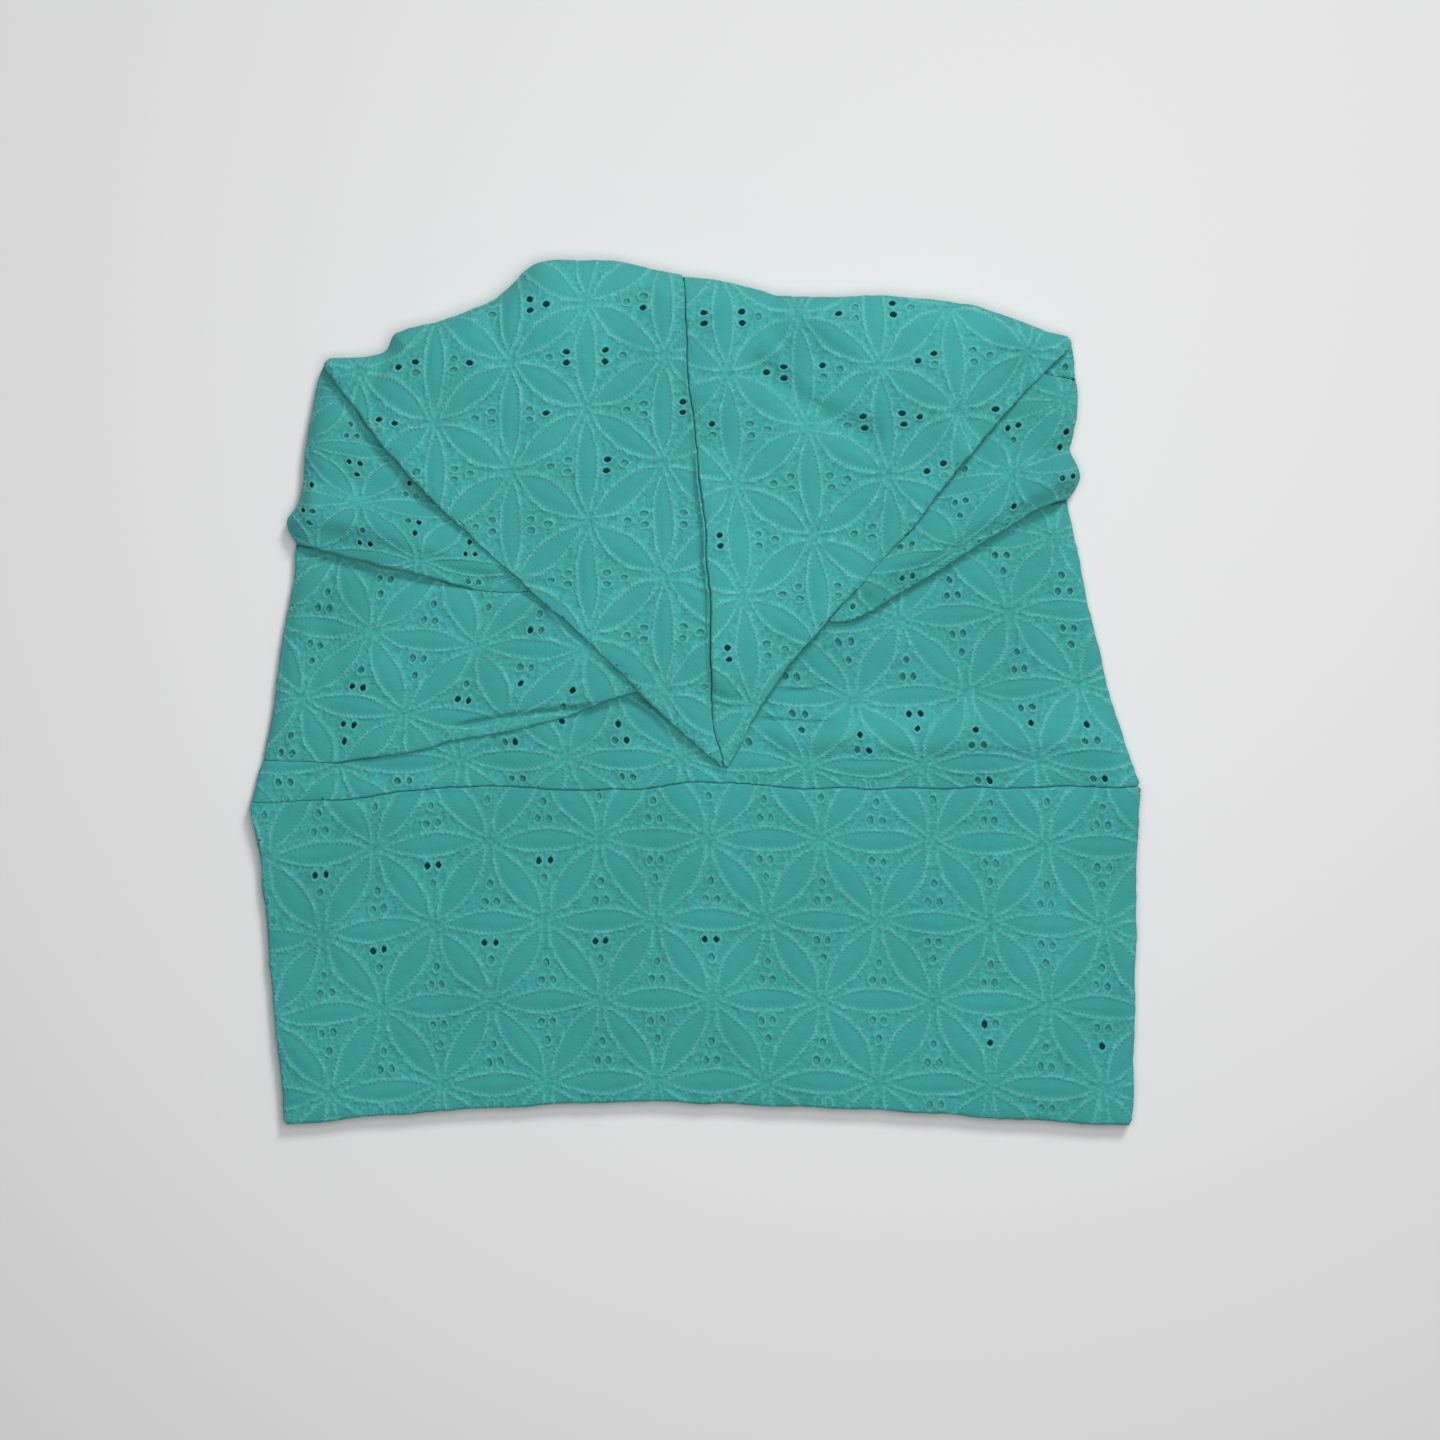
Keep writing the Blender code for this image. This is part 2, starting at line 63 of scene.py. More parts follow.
# Walls of the solids beneath, and the air between them.
SINGLE_CLOTH = 1.1
DOUBLED_CLOTH = 2.1
GAP = 0.32
SEAM_SPLIT = 0.05
STEP_UP = SINGLE_CLOTH + GAP + 0.1
LOWEST_FRONT = SINGLE_CLOTH + GAP
FOLD_TOP = LOWEST_FRONT + SINGLE_CLOTH

# Size of the cells that the cloth is cut from.
BAND_CELL = 0.62
CROWN_CELL = 0.55
FLAP_CELL = 0.5
LINING_CELL = 1.0
BACK_CELL = 1.0
CURVE_STEP = 1.2
CREASE_FADE = 7.0
EDGES_AT_ONCE = 12
NO_LIMIT = 1.0e6

# Radius over which the cloth turns down at the garment's outline, and where it grows.
SIDE_TURN = 7.0
TOP_TURN = 10.0
TOP_TURN_GROWS = (70.0, 105.0)
BAND_TURN = 4.0

# The rolled edge of a fold or seam, and the depth of an eyelet's wall.
ROLL_RADIUS = 0.9
ROLL_TURNS = (25.0, 55.0, 90.0, 130.0, 165.0)
RIM_SHARES = (1.5, 2.2)
BACK_LIP = 1.9
EYELET_DEPTH = 0.22
LINING_DROP = 0.32
LAYER_DROP = 0.45
HIDDEN_INSET = 0.3
POCKET = 1.4

# Where one stretch runs on into the next without a lip: x, y, reach.
MERGED = ((-124.0, -20.0, 26.0), (-48.0, 30.0, 22.0))
LEAST_ROLL = 0.12
SEAM_ROLL = 0.6

# Unevenness of hand-smoothed jersey, in plan: height and length of each wave, and its way.
WARPS = ((0.2, 23.0, 0.4), (0.11, 10.0, 1.9), (0.07, 4.7, 4.1))

# How far a layer runs on beneath the one above it.
UNDERLAP = 7.0
PLEAT_UNDERLAP = 5.0
TUCK_UNDERLAP = 3.0
CLEAR_OF_OUTLINE = (4.0, 10.0)

# Outline and creases of the solids, each row a point (x, y).
BAND_BOTTOM = (
    (-121.0, -127.6), (-101.9, -125.6), (-78.3, -123.6), (-42.9, -121.5),
    (-13.4, -120.6), (20.0, -121.8), (57.3, -123.2), (92.7, -125.8), (129.0, -127.6),
)
BAND_RIGHT = ((129.0, -127.6), (129.8, -80.0), (130.4, -42.0), (131.3, -27.6))
BAND_LEFT = ((-131.3, -32.4), (-127.9, -54.0), (-125.0, -88.0), (-121.0, -127.6))
BAND_SEAM = (
    (-131.3, -32.4), (-104.8, -31.5), (-85.3, -29.2), (-69.4, -27.6), (-24.3, -28.7),
    (4.9, -26.3), (30.8, -28.0), (78.0, -28.1), (131.3, -27.6),
)
LEFT_LOWEST = ((-131.3, -32.2), (-129.4, -24.6), (-127.4, -19.6))
LEFT_LOWER = ((-127.4, -19.6), (-124.5, -2.1), (-121.6, 15.6), (-118.7, 33.3), (-118.1, 43.3))
LEFT_ROLL = (
    (-118.1, 43.9), (-120.3, 50.4), (-116.9, 56.2), (-115.4, 68.7), (-112.4, 86.4),
    (-109.8, 96.4),
)
TOP_LEFT = (
    (-109.8, 96.4), (-108.0, 98.4), (-91.2, 100.5), (-88.5, 105.5), (-72.4, 110.6),
    (-59.1, 116.2), (-47.3, 126.2), (-38.0, 127.6), (-20.0, 126.6), (-3.5, 122.8),
)
TOP_RIGHT = (
    (-3.2, 122.6), (8.0, 121.4), (19.5, 118.4), (24.0, 117.0), (57.3, 116.8), (79.0, 114.8),
    (92.7, 110.6), (104.5, 106.4), (110.0, 105.0), (110.9, 102.6),
)
RIGHT_TUCK = ((110.9, 102.6), (112.3, 92.4))
RIGHT_ROLL = (
    (112.6, 91.8), (112.7, 85.0), (110.9, 73.8), (110.6, 71.2), (113.5, 63.8), (109.8, 57.6),
)
RIGHT_LOWER = ((109.7, 56.8), (113.1, 39.2), (118.4, 15.6), (123.4, -4.6), (131.3, -27.4))
FLAP_LEFT_FOLD = (
    (-109.8, 96.4), (-85.9, 65.7), (-67.7, 47.5), (-34.3, 17.4), (-3.4, -12.4), (8.2, -22.4),
)
FLAP_RIGHT_FOLD = (
    (110.9, 102.6), (85.3, 75.5), (60.9, 45.4), (40.5, 23.0), (24.3, 3.5), (9.2, -22.4),
)
CENTRE_SEAM = (
    (-3.4, 122.7), (-1.9, 91.4), (1.6, 61.3), (4.3, 27.4), (5.2, -8.0), (8.6, -22.6),
)
LEFT_PLEAT = (
    (-127.4, -19.6), (-116.6, -20.3), (-100.1, -19.9), (-83.0, -17.1), (-63.5, -12.8),
    (-48.8, -10.3), (-41.4, -8.3), (-34.1, -5.3), (-27.0, -2.7), (-8.0, 3.0),
)
LEFT_ROLL_CREASE = (
    (-118.1, 43.9), (-103.3, 40.1), (-84.8, 35.7), (-69.1, 31.5), (-55.0, 29.3), (-41.0, 32.0),
)
RIGHT_ROLL_CREASE = (
    (30.5, 27.0), (42.5, 20.4), (60.9, 29.6), (77.4, 39.5), (99.5, 53.2), (109.8, 57.6),
)
TUCK_LIP = ((96.0, 97.2), (101.9, 94.6), (112.6, 91.8))

# Where each front stretch ends beneath the flap: lowest and highest y, or points.
SIDE_UNDER_FLAP = (5.0, 30.0)
LEFT_ROLL_UNDER_FLAP = (34.0, 90.0)
RIGHT_ROLL_UNDER_FLAP = (30.0, 90.0)
TUCK_UNDER_FLAP = ((104.0, 103.4), (92.0, 98.0))

# Height of each cloth's upper side: base, rise per mm of y above the band seam,
# and the height that the rise stops at.
FRONT_PANEL_LEVEL = (4.4, 0.012, 6.0)
FLAP_LEVEL = (7.3, 0.046, 12.3)
TUCK_LEVEL = 4.0
BAND_LEVEL = 4.6
SEAM_Y = -28.0
LEFT_PLEAT_STARTS = (-112.0, -92.0)
LEFT_ROLL_ENDS = (-60.0, -84.0)
PLEAT_COVERS = (-96.0, -78.0)
ROLL_COVERS = (-72.0, -90.0)

# Soft hills and hollows of the solids: x, y, height, spread along x, spread along y.
FRONT_HILLS = (
    (-95.0, 12.0, 0.7, 26.0, 22.0),
    (75.0, 8.0, 0.6, 30.0, 20.0),
    (60.0, -12.0, 0.4, 22.0, 7.0),
)
ROLL_HILLS = (
    (-113.0, 52.0, 1.5, 12.0, 7.0),
    (-100.0, 62.0, 0.5, 12.0, 14.0),
)
RIGHT_ROLL_HILLS = (
    (106.0, 64.0, 1.8, 14.0, 7.0),
    (88.0, 58.0, 0.8, 16.0, 10.0),
    (106.0, 82.0, 0.9, 10.0, 8.0),
)
FLAP_HILLS = (
    (-38.0, 106.0, 2.6, 22.0, 16.0),
    (-70.0, 98.0, 0.9, 18.0, 12.0),
    (8.0, 96.0, 1.4, 12.0, 24.0),
    (66.0, 92.0, 1.5, 26.0, 16.0),
    (36.0, 94.0, -1.5, 9.0, 13.0),
    (-102.0, 91.0, -2.0, 12.0, 12.0),
    (104.0, 97.0, -2.6, 13.0, 13.0),
    (8.0, -22.0, -1.1, 14.0, 14.0),
    (-30.0, 14.0, -0.9, 24.0, 20.0),
    (-58.0, 42.0, -1.2, 16.0, 16.0),
    (52.0, 42.0, -0.8, 16.0, 18.0),
)
BAND_WAVES = (
    (-60.0, -80.0, 0.35, 30.0, 20.0),
    (40.0, -95.0, 0.3, 34.0, 16.0),
    (0.0, -34.0, 0.35, 150.0, 5.0),
)
CORNER_LIFTS = (
    (-109.8, 96.4, 0.2, 15.0, 13.0),
    (110.9, 98.6, 0.2, 15.0, 13.0),
)

# Creases too fine for the solids, in the photograph's pixels: depth in mm (a ridge is
# above 0), half-width in mm to the left and to the right of the way that the points
# go, then the points.
FLAP_CREASES = (
    (-1.0, 3.5, 1.2, ((763, 292), (769, 325), (780, 348), (786, 372))),
    (-2.2, 4.0, 4.5, ((742, 356), (774, 382), (803, 404), (838, 424), (884, 446))),
    (-2.6, 10.0, 10.0, ((1092, 322), (1050, 366), (1005, 410), (965, 450))),
    (-1.0, 8.0, 8.0, ((295, 338), (335, 384), (372, 426))),
    (0.7, 6.0, 4.0, ((800, 300), (840, 340), (890, 390))),
    (-1.2, 2.0, 2.6, ((388, 350), (386, 368), (377, 381), (364, 394))),
    (1.1, 10.0, 1.2, ((688, 296), (690, 383), (702, 485), (711, 600), (716, 712))),
    (1.9, 9.0, 1.5, ((698, 450), (706, 540), (712, 610), (715, 700))),
    (-0.8, 4.0, 5.0, ((500, 298), (497, 330), (508, 362))),
    (-1.0, 10.0, 7.0, ((470, 400), (500, 425), (530, 460))),
    (-0.4, 6.0, 6.0, ((600, 560), (650, 620), (690, 690))),
    (0.5, 6.0, 4.0, ((560, 280), (540, 360), (520, 450))),
)
FRONT_CREASES = (
    (-1.8, 5.0, 1.5, ((1078, 490), (1010, 530), (930, 574), (836, 624))),
    (-1.3, 18.0, 5.0, ((770, 704), (900, 704), (1000, 700), (1110, 690))),
    (2.1, 8.0, 4.5, ((765, 738), (900, 742), (1000, 741), (1122, 746))),
    (0.6, 4.0, 3.0, ((740, 768), (900, 768), (1122, 772))),
    (-1.3, 0.8, 2.0, ((750, 718), (793, 721), (842, 724))),
    (-0.8, 0.8, 1.8, ((770, 691), (806, 691), (836, 687))),
    (-0.5, 2.4, 3.0, ((280, 775), (400, 768), (520, 762))),
    (-1.9, 4.0, 1.5, ((674, 686), (639, 693), (604, 705), (560, 722))),
)
SIDE_CREASES = (
    (-1.9, 1.5, 5.0, ((286, 542), (340, 556), (385, 568), (431, 578), (490, 584))),
    (-1.4, 2.4, 0.8, ((606, 703), (563, 710), (523, 715), (490, 719), (450, 729))),
    (0.6, 4.0, 5.0, ((600, 690), (560, 697), (500, 705))),
    (-0.5, 4.0, 3.0, ((300, 600), (330, 640), (345, 700))),
    (0.6, 6.0, 6.0, ((285, 655), (360, 668), (430, 680))),
    (0.9, 1.5, 9.0, ((430, 582), (500, 592), (560, 618))),
)
ROLL_CREASES = (
    (1.6, 8.0, 3.5, ((288, 508), (340, 520), (400, 538), (460, 556), (514, 572))),
    (-0.9, 5.0, 3.0, ((296, 478), (360, 490), (440, 508))),
    (-1.5, 4.0, 4.5, ((322, 368), (360, 410), (410, 462), (450, 505))),
)
RIGHT_ROLL_CREASES = (
    (2.2, 4.0, 9.0, ((1076, 472), (1000, 510), (930, 548), (852, 594))),
    (-1.2, 1.2, 2.4, ((1078, 452), (1052, 450), (1026, 457))),
    (-0.8, 1.0, 2.0, ((1080, 407), (1060, 408), (1042, 413))),
    (-1.2, 4.0, 4.0, ((1070, 344), (1020, 395), (960, 460))),
)
BAND_CREASES = (
    (-0.6, 6.0, 6.0, ((262, 870), (300, 900), (310, 980))),
    (0.4, 9.0, 9.0, ((450, 960), (600, 1010), (760, 1000))),
    (-0.5, 1.5, 1.5, ((345, 804), (400, 799), (470, 792))),
)

# The pattern: one repeat along the cloth and one row across it.
REPEAT = 32.8
ROW = 24.3
HEX_ROW = math.sqrt(3.0) / 2.0
PETAL_HALF_WIDTH = 0.126
PETAL_LENGTH = 0.87
EYELET_PAIR = 1.65
EYELET_PAIR_DROP = 1.9
EYELET_APEX = 3.5
EYELET_RADII = (0.76, 1.12)
EYELET_MEAN = 0.92
EYELET_MARGIN = 1.2
RIM_REACH = 4.0

# Length of one zigzag of the satin stitch, in repeats.
STITCH_PITCH = 0.042

# Height of the embroidery.
PETAL_PUFF = 0.32
LINE_RAISE = 0.24
LINE_WIDTH = 0.024
RING_RAISE = 0.2
WAVINESS = 0.16

# Places of the pattern's crossings in the photograph: pixel x, pixel y, then the
# repeat and the row that each one is.
BAND_CROSSINGS = (
    (330, 1096, 0, 0), (443, 1086, 1, 0), (548, 1082, 2, 0), (656, 1082, 3, 0),
    (766, 1083, 4, 0), (878, 1083, 5, 0), (990, 1087, 6, 0), (1103, 1091, 7, 0),
    (383, 1006, 0.5, 1), (492, 1000, 1.5, 1), (602, 999, 2.5, 1), (712, 998, 3.5, 1),
    (822, 999, 4.5, 1), (933, 1000, 5.5, 1), (1046, 1002, 6.5, 1),
    (320, 940, 0, 2), (435, 925, 1, 2), (546, 923, 2, 2), (656, 921, 3, 2),
    (768, 922, 4, 2), (878, 923, 5, 2), (990, 925, 6, 2), (1102, 927, 7, 2),
    (375, 848, 0.5, 3), (490, 840, 1.5, 3), (600, 838, 2.5, 3), (708, 838, 3.5, 3),
    (820, 840, 4.5, 3), (932, 842, 5.5, 3), (1046, 843, 6.5, 3),
)
FRONT_CROSSINGS = (
    (338, 765, 0, 0), (462, 760, 1, 0), (565, 758, 2, 0), (679, 757, 3, 0),
    (808, 760, 4, 0), (921, 760, 5, 0), (1040, 760, 6, 0),
    (856, 711, 4.5, 1), (969, 699, 5.5, 1), (1074, 681, 6.5, 1),
    (902, 619, 5, 2), (1007, 606, 6, 2),
)
SIDE_CROSSINGS = (
    (303, 697, 0, 0), (406, 716, 1, 0), (508, 720, 2, 0),
    (370, 632, 0.5, 1), (478, 649, 1.5, 1), (586, 650, 2.5, 1),
)
ROLL_CROSSINGS = (
    (421, 563, 0, 0), (316, 551, -1, 0), (526, 573, 1, 0),
    (359, 504, -0.5, 1), (465, 514, 0.5, 1), (303, 445, -1, 2), (408, 455, 0, 2),
)
RIGHT_ROLL_CROSSINGS = (
    (1012, 474, 0, 0), (905, 500, -1, 0), (1118, 450, 1, 0),
    (1066, 400, 0.5, 1), (958, 425, -0.5, 1), (1010, 350, 0, 2),
)
FLAP_LEFT_CROSSINGS = (
    (437, 426, 1, 0),
    (512, 366, 0.5, 1), (512, 470, 1.5, 1),
    (587, 308, 0, 2), (587, 408, 1, 2), (588, 523, 2, 2),
    (664, 361, 0.5, 3), (664, 463, 1.5, 3), (664, 577, 2.5, 3), (664, 692, 3.5, 3),
)
FLAP_RIGHT_CROSSINGS = (
    (727, 375, 0, 0), (736, 484, 1, 0), (744, 597, 2, 0),
    (805, 434, 0.5, 1), (811, 539, 1.5, 1),
    (878, 370, 0, 2), (891, 477, 1, 2), (954, 412, 0.5, 3),
)

# Eyelets that look through to the dark inside, by the photograph's pixels. The lining beneath each
# one gets a pocket and painted shade.
BAND_DARK = (
    (310, 876), (322, 874), (422, 867), (434, 864), (536, 862), (548, 860), (594, 940),
    (606, 939), (481, 945), (494, 944), (370, 953), (382, 951), (704, 942), (716, 943),
    (985, 1027), (990, 1046), (1104, 1050),
)
FLAP_DARK = (
    (380, 414), (380, 426), (399, 422), (399, 364), (414, 361), (532, 308), (534, 319),
    (549, 309), (636, 310), (637, 320), (683, 403), (687, 415), (684, 320), (478, 367),
    (565, 356), (565, 366), (608, 355), (609, 365), (608, 460), (608, 471), (556, 418),
    (561, 265), (608, 270), (675, 303), (703, 313), (704, 323), (707, 422), (707, 433),
    (749, 314), (749, 325), (830, 320), (834, 331), (814, 333), (876, 304), (880, 315),
    (897, 305), (921, 350), (905, 361), (924, 360), (777, 371), (760, 377), (779, 382),
    (821, 372), (905, 412), (907, 423), (922, 412), (943, 461), (943, 472), (925, 470),
    (1008, 388), (990, 399), (1010, 399), (861, 417), (862, 428), (718, 535), (719, 545),
    (725, 652), (725, 664),
)
FRONT_DARK = (
    (292, 737), (282, 755), (294, 757), (627, 720), (622, 739), (633, 737), (511, 744),
    (522, 745), (573, 731), (407, 747), (753, 730), (861, 737), (874, 738), (911, 717),
    (923, 716), (921, 730), (974, 738), (975, 722), (863, 782), (875, 783), (984, 784),
    (996, 784), (1086, 708), (1086, 726), (1098, 722), (1102, 766), (1113, 766), (1034, 723),
)
SIDE_DARK = (
    (475, 594), (487, 597), (521, 631), (532, 632), (582, 686), (353, 688), (365, 687),
    (461, 694), (473, 695), (524, 687), (344, 731), (355, 734), (348, 750),
)
ROLL_DARK = (
    (354, 460), (365, 459), (359, 477), (409, 488), (420, 487), (308, 482), (361, 539),
    (358, 553), (369, 554), (412, 529), (424, 530), (420, 543), (475, 543), (470, 557),
    (482, 557),
)
RIGHT_ROLL_DARK = ((1006, 429), (1017, 427), (1066, 432), (1062, 451), (847, 605), (1017, 513))
CROWN_DARK = (
    (FRONT_CROSSINGS, FRONT_DARK), (SIDE_CROSSINGS, SIDE_DARK), (ROLL_CROSSINGS, ROLL_DARK),
    (RIGHT_ROLL_CROSSINGS, RIGHT_ROLL_DARK),
)
# How far the pocket and the painted shade reach round each such eyelet: whole within the first,
# gone beyond the second.
DARK_REACH = (1.3, 2.2)


class ClothSettings(bpy.types.PropertyGroup):
    """Sizes of the embroidered jersey."""

    cell_scale: FloatProperty(
        name="Cell Scale", description="Multiplies the size of the cells the cloth is cut from",
        default=1.0, min=0.8, max=6.0,
    )
    puff: FloatProperty(
        name="Petal Puff", description="Height of a petal's middle above its edge, in mm",
        default=PETAL_PUFF, min=0.0, max=1.0,
    )
    stitch: FloatProperty(
        name="Stitch Height", description="Height of the satin stitch above the jersey, in mm",
        default=LINE_RAISE, min=0.0, max=1.0,
    )
    roll: FloatProperty(
        name="Fold Radius", description="Radius of a fold's rolled edge",
        default=ROLL_RADIUS * MM, min=0.0, max=0.003, unit="LENGTH",
    )


class ColourSettings(bpy.types.PropertyGroup):
    """Colours of the jersey, its stitching and the stage."""

    jersey: FloatVectorProperty(
        name="Jersey", description="Smooth jersey inside the petals", subtype="COLOR",
        size=3, min=0.0, max=1.0, default=(0.044, 0.326, 0.309),
    )
    ground: FloatVectorProperty(
        name="Ground", description="Stitched ground round the eyelets", subtype="COLOR",
        size=3, min=0.0, max=1.0, default=(0.047, 0.338, 0.319),
    )
    thread: FloatVectorProperty(
        name="Thread", description="Satin stitch of the outlines and rings", subtype="COLOR",
        size=3, min=0.0, max=1.0, default=(0.11, 0.47, 0.44),
    )
    # Painted shade: beneath the eyelets that look through, the lining turns to this colour,
    # standing in for the unlit layers deep inside.
    inside: FloatVectorProperty(
        name="Inside", description="Unlit layers seen through the open eyelets", subtype="COLOR",
        size=3, min=0.0, max=1.0, default=(0.004, 0.095, 0.105),
    )
    floor: FloatVectorProperty(
        name="Floor", description="Plain pale surface", subtype="COLOR",
        size=3, min=0.0, max=1.0, default=(0.8, 0.8, 0.805),
    )


def from_photo(points):
    """Pixels of the photograph as millimetres in the frame."""
    places = np.array(points, dtype=float)
    return (places - PHOTO_MIDDLE) * (MM_PER_PIXEL, -MM_PER_PIXEL)


def smooth_curve(points, step=CURVE_STEP):
    """Points at even steps along a smooth curve through the named ones."""
    knots = np.array(points, dtype=float)
    ends = np.vstack((2 * knots[0] - knots[1], knots, 2 * knots[-1] - knots[-2]))
    dense = []
    for k in range(1, len(ends) - 2):
        before, start, end, after = ends[k - 1:k + 3]
        span = np.linalg.norm(end - start)
        lead = (end - before) / (span + np.linalg.norm(start - before))
        tail = (after - start) / (np.linalg.norm(after - end) + span)
        for t in np.linspace(0.0, 1.0, 24, endpoint=False):
            dense.append(
                (2 * t**3 - 3 * t**2 + 1) * start
                + (t**3 - 2 * t**2 + t) * span * lead
                + (3 * t**2 - 2 * t**3) * end
                + (t**3 - t**2) * span * tail
            )
    dense.append(knots[-1])
    dense = np.array(dense)
    travelled = np.concatenate(((0.0,), np.cumsum(np.linalg.norm(np.diff(dense, axis=0), axis=1))))
    count = max(2, int(round(travelled[-1] / step)) + 1)
    marks = np.linspace(0.0, travelled[-1], count)
    return np.column_stack([np.interp(marks, travelled, dense[:, axis]) for axis in (0, 1)])


def loop_of(*curves):
    """One closed outline from curves that follow each other head to tail."""
    points = []
    for curve in curves:
        for point in curve:
            if not points or np.linalg.norm(point - points[-1]) > CURVE_STEP / 3:
                points.append(point)
    while np.linalg.norm(points[0] - points[-1]) < CURVE_STEP / 3:
        points.pop()
    outline = np.array(points)
    following = np.roll(outline, -1, axis=0)
    area = np.sum(outline[:, 0] * following[:, 1] - following[:, 0] * outline[:, 1])
    return outline if area > 0 else outline[::-1]


def enclosed_area(outline):
    following = np.roll(outline, -1, axis=0)
    return abs(np.sum(outline[:, 0] * following[:, 1] - following[:, 0] * outline[:, 1])) / 2


def sideways(curve):
    """Unit vectors to the left of a curve."""
    along = np.gradient(curve, axis=0)
    along /= np.linalg.norm(along, axis=1)[:, None]
    return np.column_stack((-along[:, 1], along[:, 0]))


def shifted(curve, distance):
    return curve + distance * sideways(curve)


def stretch(curve, low, high):
    """The part of a curve whose y lies between two values."""
    return curve[(curve[:, 1] > low) & (curve[:, 1] < high)]


def beneath(curve, share, underlap):
    """A lower cloth's edge: just short of the crease at share 0, well beneath it at 1."""
    offset = (underlap + SEAM_SPLIT) * share - SEAM_SPLIT
    return curve + offset[:, None] * sideways(curve)


def inset(outline, distance):
    """The outline moved inwards, with its corners kept."""
    before = outline - np.roll(outline, 1, axis=0)
    after = np.roll(outline, -1, axis=0) - outline
    before /= np.linalg.norm(before, axis=1)[:, None]
    after /= np.linalg.norm(after, axis=1)[:, None]
    left_before = np.column_stack((-before[:, 1], before[:, 0]))
    left_after = np.column_stack((-after[:, 1], after[:, 0]))
    bisector = left_before + left_after
    bisector /= np.maximum(np.linalg.norm(bisector, axis=1)[:, None], 1e-6)
    cosine = np.maximum(np.sum(bisector * left_before, axis=1), 0.5)
    return outline + bisector * (distance / cosine)[:, None]


def nearest_on(outline, points, closed=True, reach=NO_LIMIT):
    """Distance to the nearest edge of an outline, that place, and the way out there.

    Points further off than reach keep that distance.
    """
    starts = outline if closed else outline[:-1]
    ends = np.roll(outline, -1, axis=0) if closed else outline[1:]
    best = np.full(len(points), reach)
    foot = points.copy()
    outward = np.zeros_like(points)
    for first in range(0, len(starts), EDGES_AT_ONCE):
        run = slice(first, first + EDGES_AT_ONCE)
        both = np.vstack((starts[run], ends[run]))
        low, high = both.min(axis=0) - reach, both.max(axis=0) + reach
        near = np.flatnonzero(np.all((points > low) & (points < high), axis=1))
        some = points[near]
        for start, end in zip(starts[run], ends[run]):
            edge = end - start
            length = math.hypot(edge[0], edge[1])
            share = np.clip((some - start) @ edge / (length * length), 0.0, 1.0)
            place = start + share[:, None] * edge
            gap = np.hypot(some[:, 0] - place[:, 0], some[:, 1] - place[:, 1])
            closer = gap < best[near]
            chosen = near[closer]
            best[chosen] = gap[closer]
            foot[chosen] = place[closer]
            outward[chosen] = (edge[1] / length, -edge[0] / length)
    return best, foot, outward


def inside(outline, points):
    """True for each point within an outline."""
    within = np.zeros(len(points), dtype=bool)
    following = np.roll(outline, -1, axis=0)
    for (x0, y0), (x1, y1) in zip(outline, following):
        if y0 == y1:
            continue
        crosses = (y0 > points[:, 1]) != (y1 > points[:, 1])
        reach = x0 + (points[:, 1] - y0) * (x1 - x0) / (y1 - y0)
        within ^= crosses & (points[:, 0] < reach)
    return within


def depth_within(outline, points, reach=NO_LIMIT):
    """Distance to the outline, below 0 outside it, with the nearest place on it."""
    gap, foot, outward = nearest_on(outline, points, reach=reach)
    return np.where(inside(outline, points), gap, -gap), foot, outward


def blend(value, start, end):
    """Smooth step from 0 at start to 1 at end."""
    share = np.clip((value - start) / (end - start), 0.0, 1.0)
    return share * share * (3.0 - 2.0 * share)


def hills(rows, points):
    """Sum of soft hills and hollows at each point."""
    total = np.zeros(len(points))
    for x, y, height, wide, deep in rows:
        total += height * np.exp(-((points[:, 0] - x) / wide)**2 - ((points[:, 1] - y) / deep)**2)
    return total


def creases(rows, points):
    """Sum of soft troughs and ridges, steeper on one side, that fade at both ends."""
    total = np.zeros(len(points))
    for height, left_width, right_width, path in rows:
        line = smooth_curve(from_photo(path), 2.0)
        widest = max(left_width, right_width)
        gap, foot, right = nearest_on(line, points, closed=False, reach=2.5 * widest)
        on_right = np.sum((points - foot) * right, axis=1) > 0.0
        profile = np.exp(-(gap / np.where(on_right, right_width, left_width))**2)
        end_gap = np.minimum(
            np.linalg.norm(foot - line[0], axis=1), np.linalg.norm(foot - line[-1], axis=1)
        )
        total += height * profile * blend(end_gap, -1.0, CREASE_FADE)
    return total


def level(rule, points):
    base, rise, top = rule
    return np.minimum(base + rise * np.maximum(points[:, 1] - SEAM_Y, 0.0), top)


def ripple(points):
    """Slow unevenness of cloth that was smoothed by hand."""
    x, y = points[:, 0], points[:, 1]
    return WAVINESS * (
        np.sin(x / 11.0 + np.sin(y / 17.0) * 1.3) * np.sin(y / 9.0 + 1.1)
        + 0.6 * np.sin(x / 5.3 + y / 7.1 + 0.4)
    )


def warped(points):
    """Every place in plan moved a little, the same way for all pieces."""
    moved = points.copy()
    for height, length, way in WARPS:
        turn = 2.0 * math.pi / length
        ahead = points[:, 0] * math.cos(way) + points[:, 1] * math.sin(way)
        aside = points[:, 1] * math.cos(way) - points[:, 0] * math.sin(way)
        moved[:, 0] += height * np.sin(aside * turn + np.sin(ahead * turn / 3.0) * 2.0)
        moved[:, 1] += height * np.sin(ahead * turn + np.sin(aside * turn / 3.7) * 2.0 + way)
    return moved


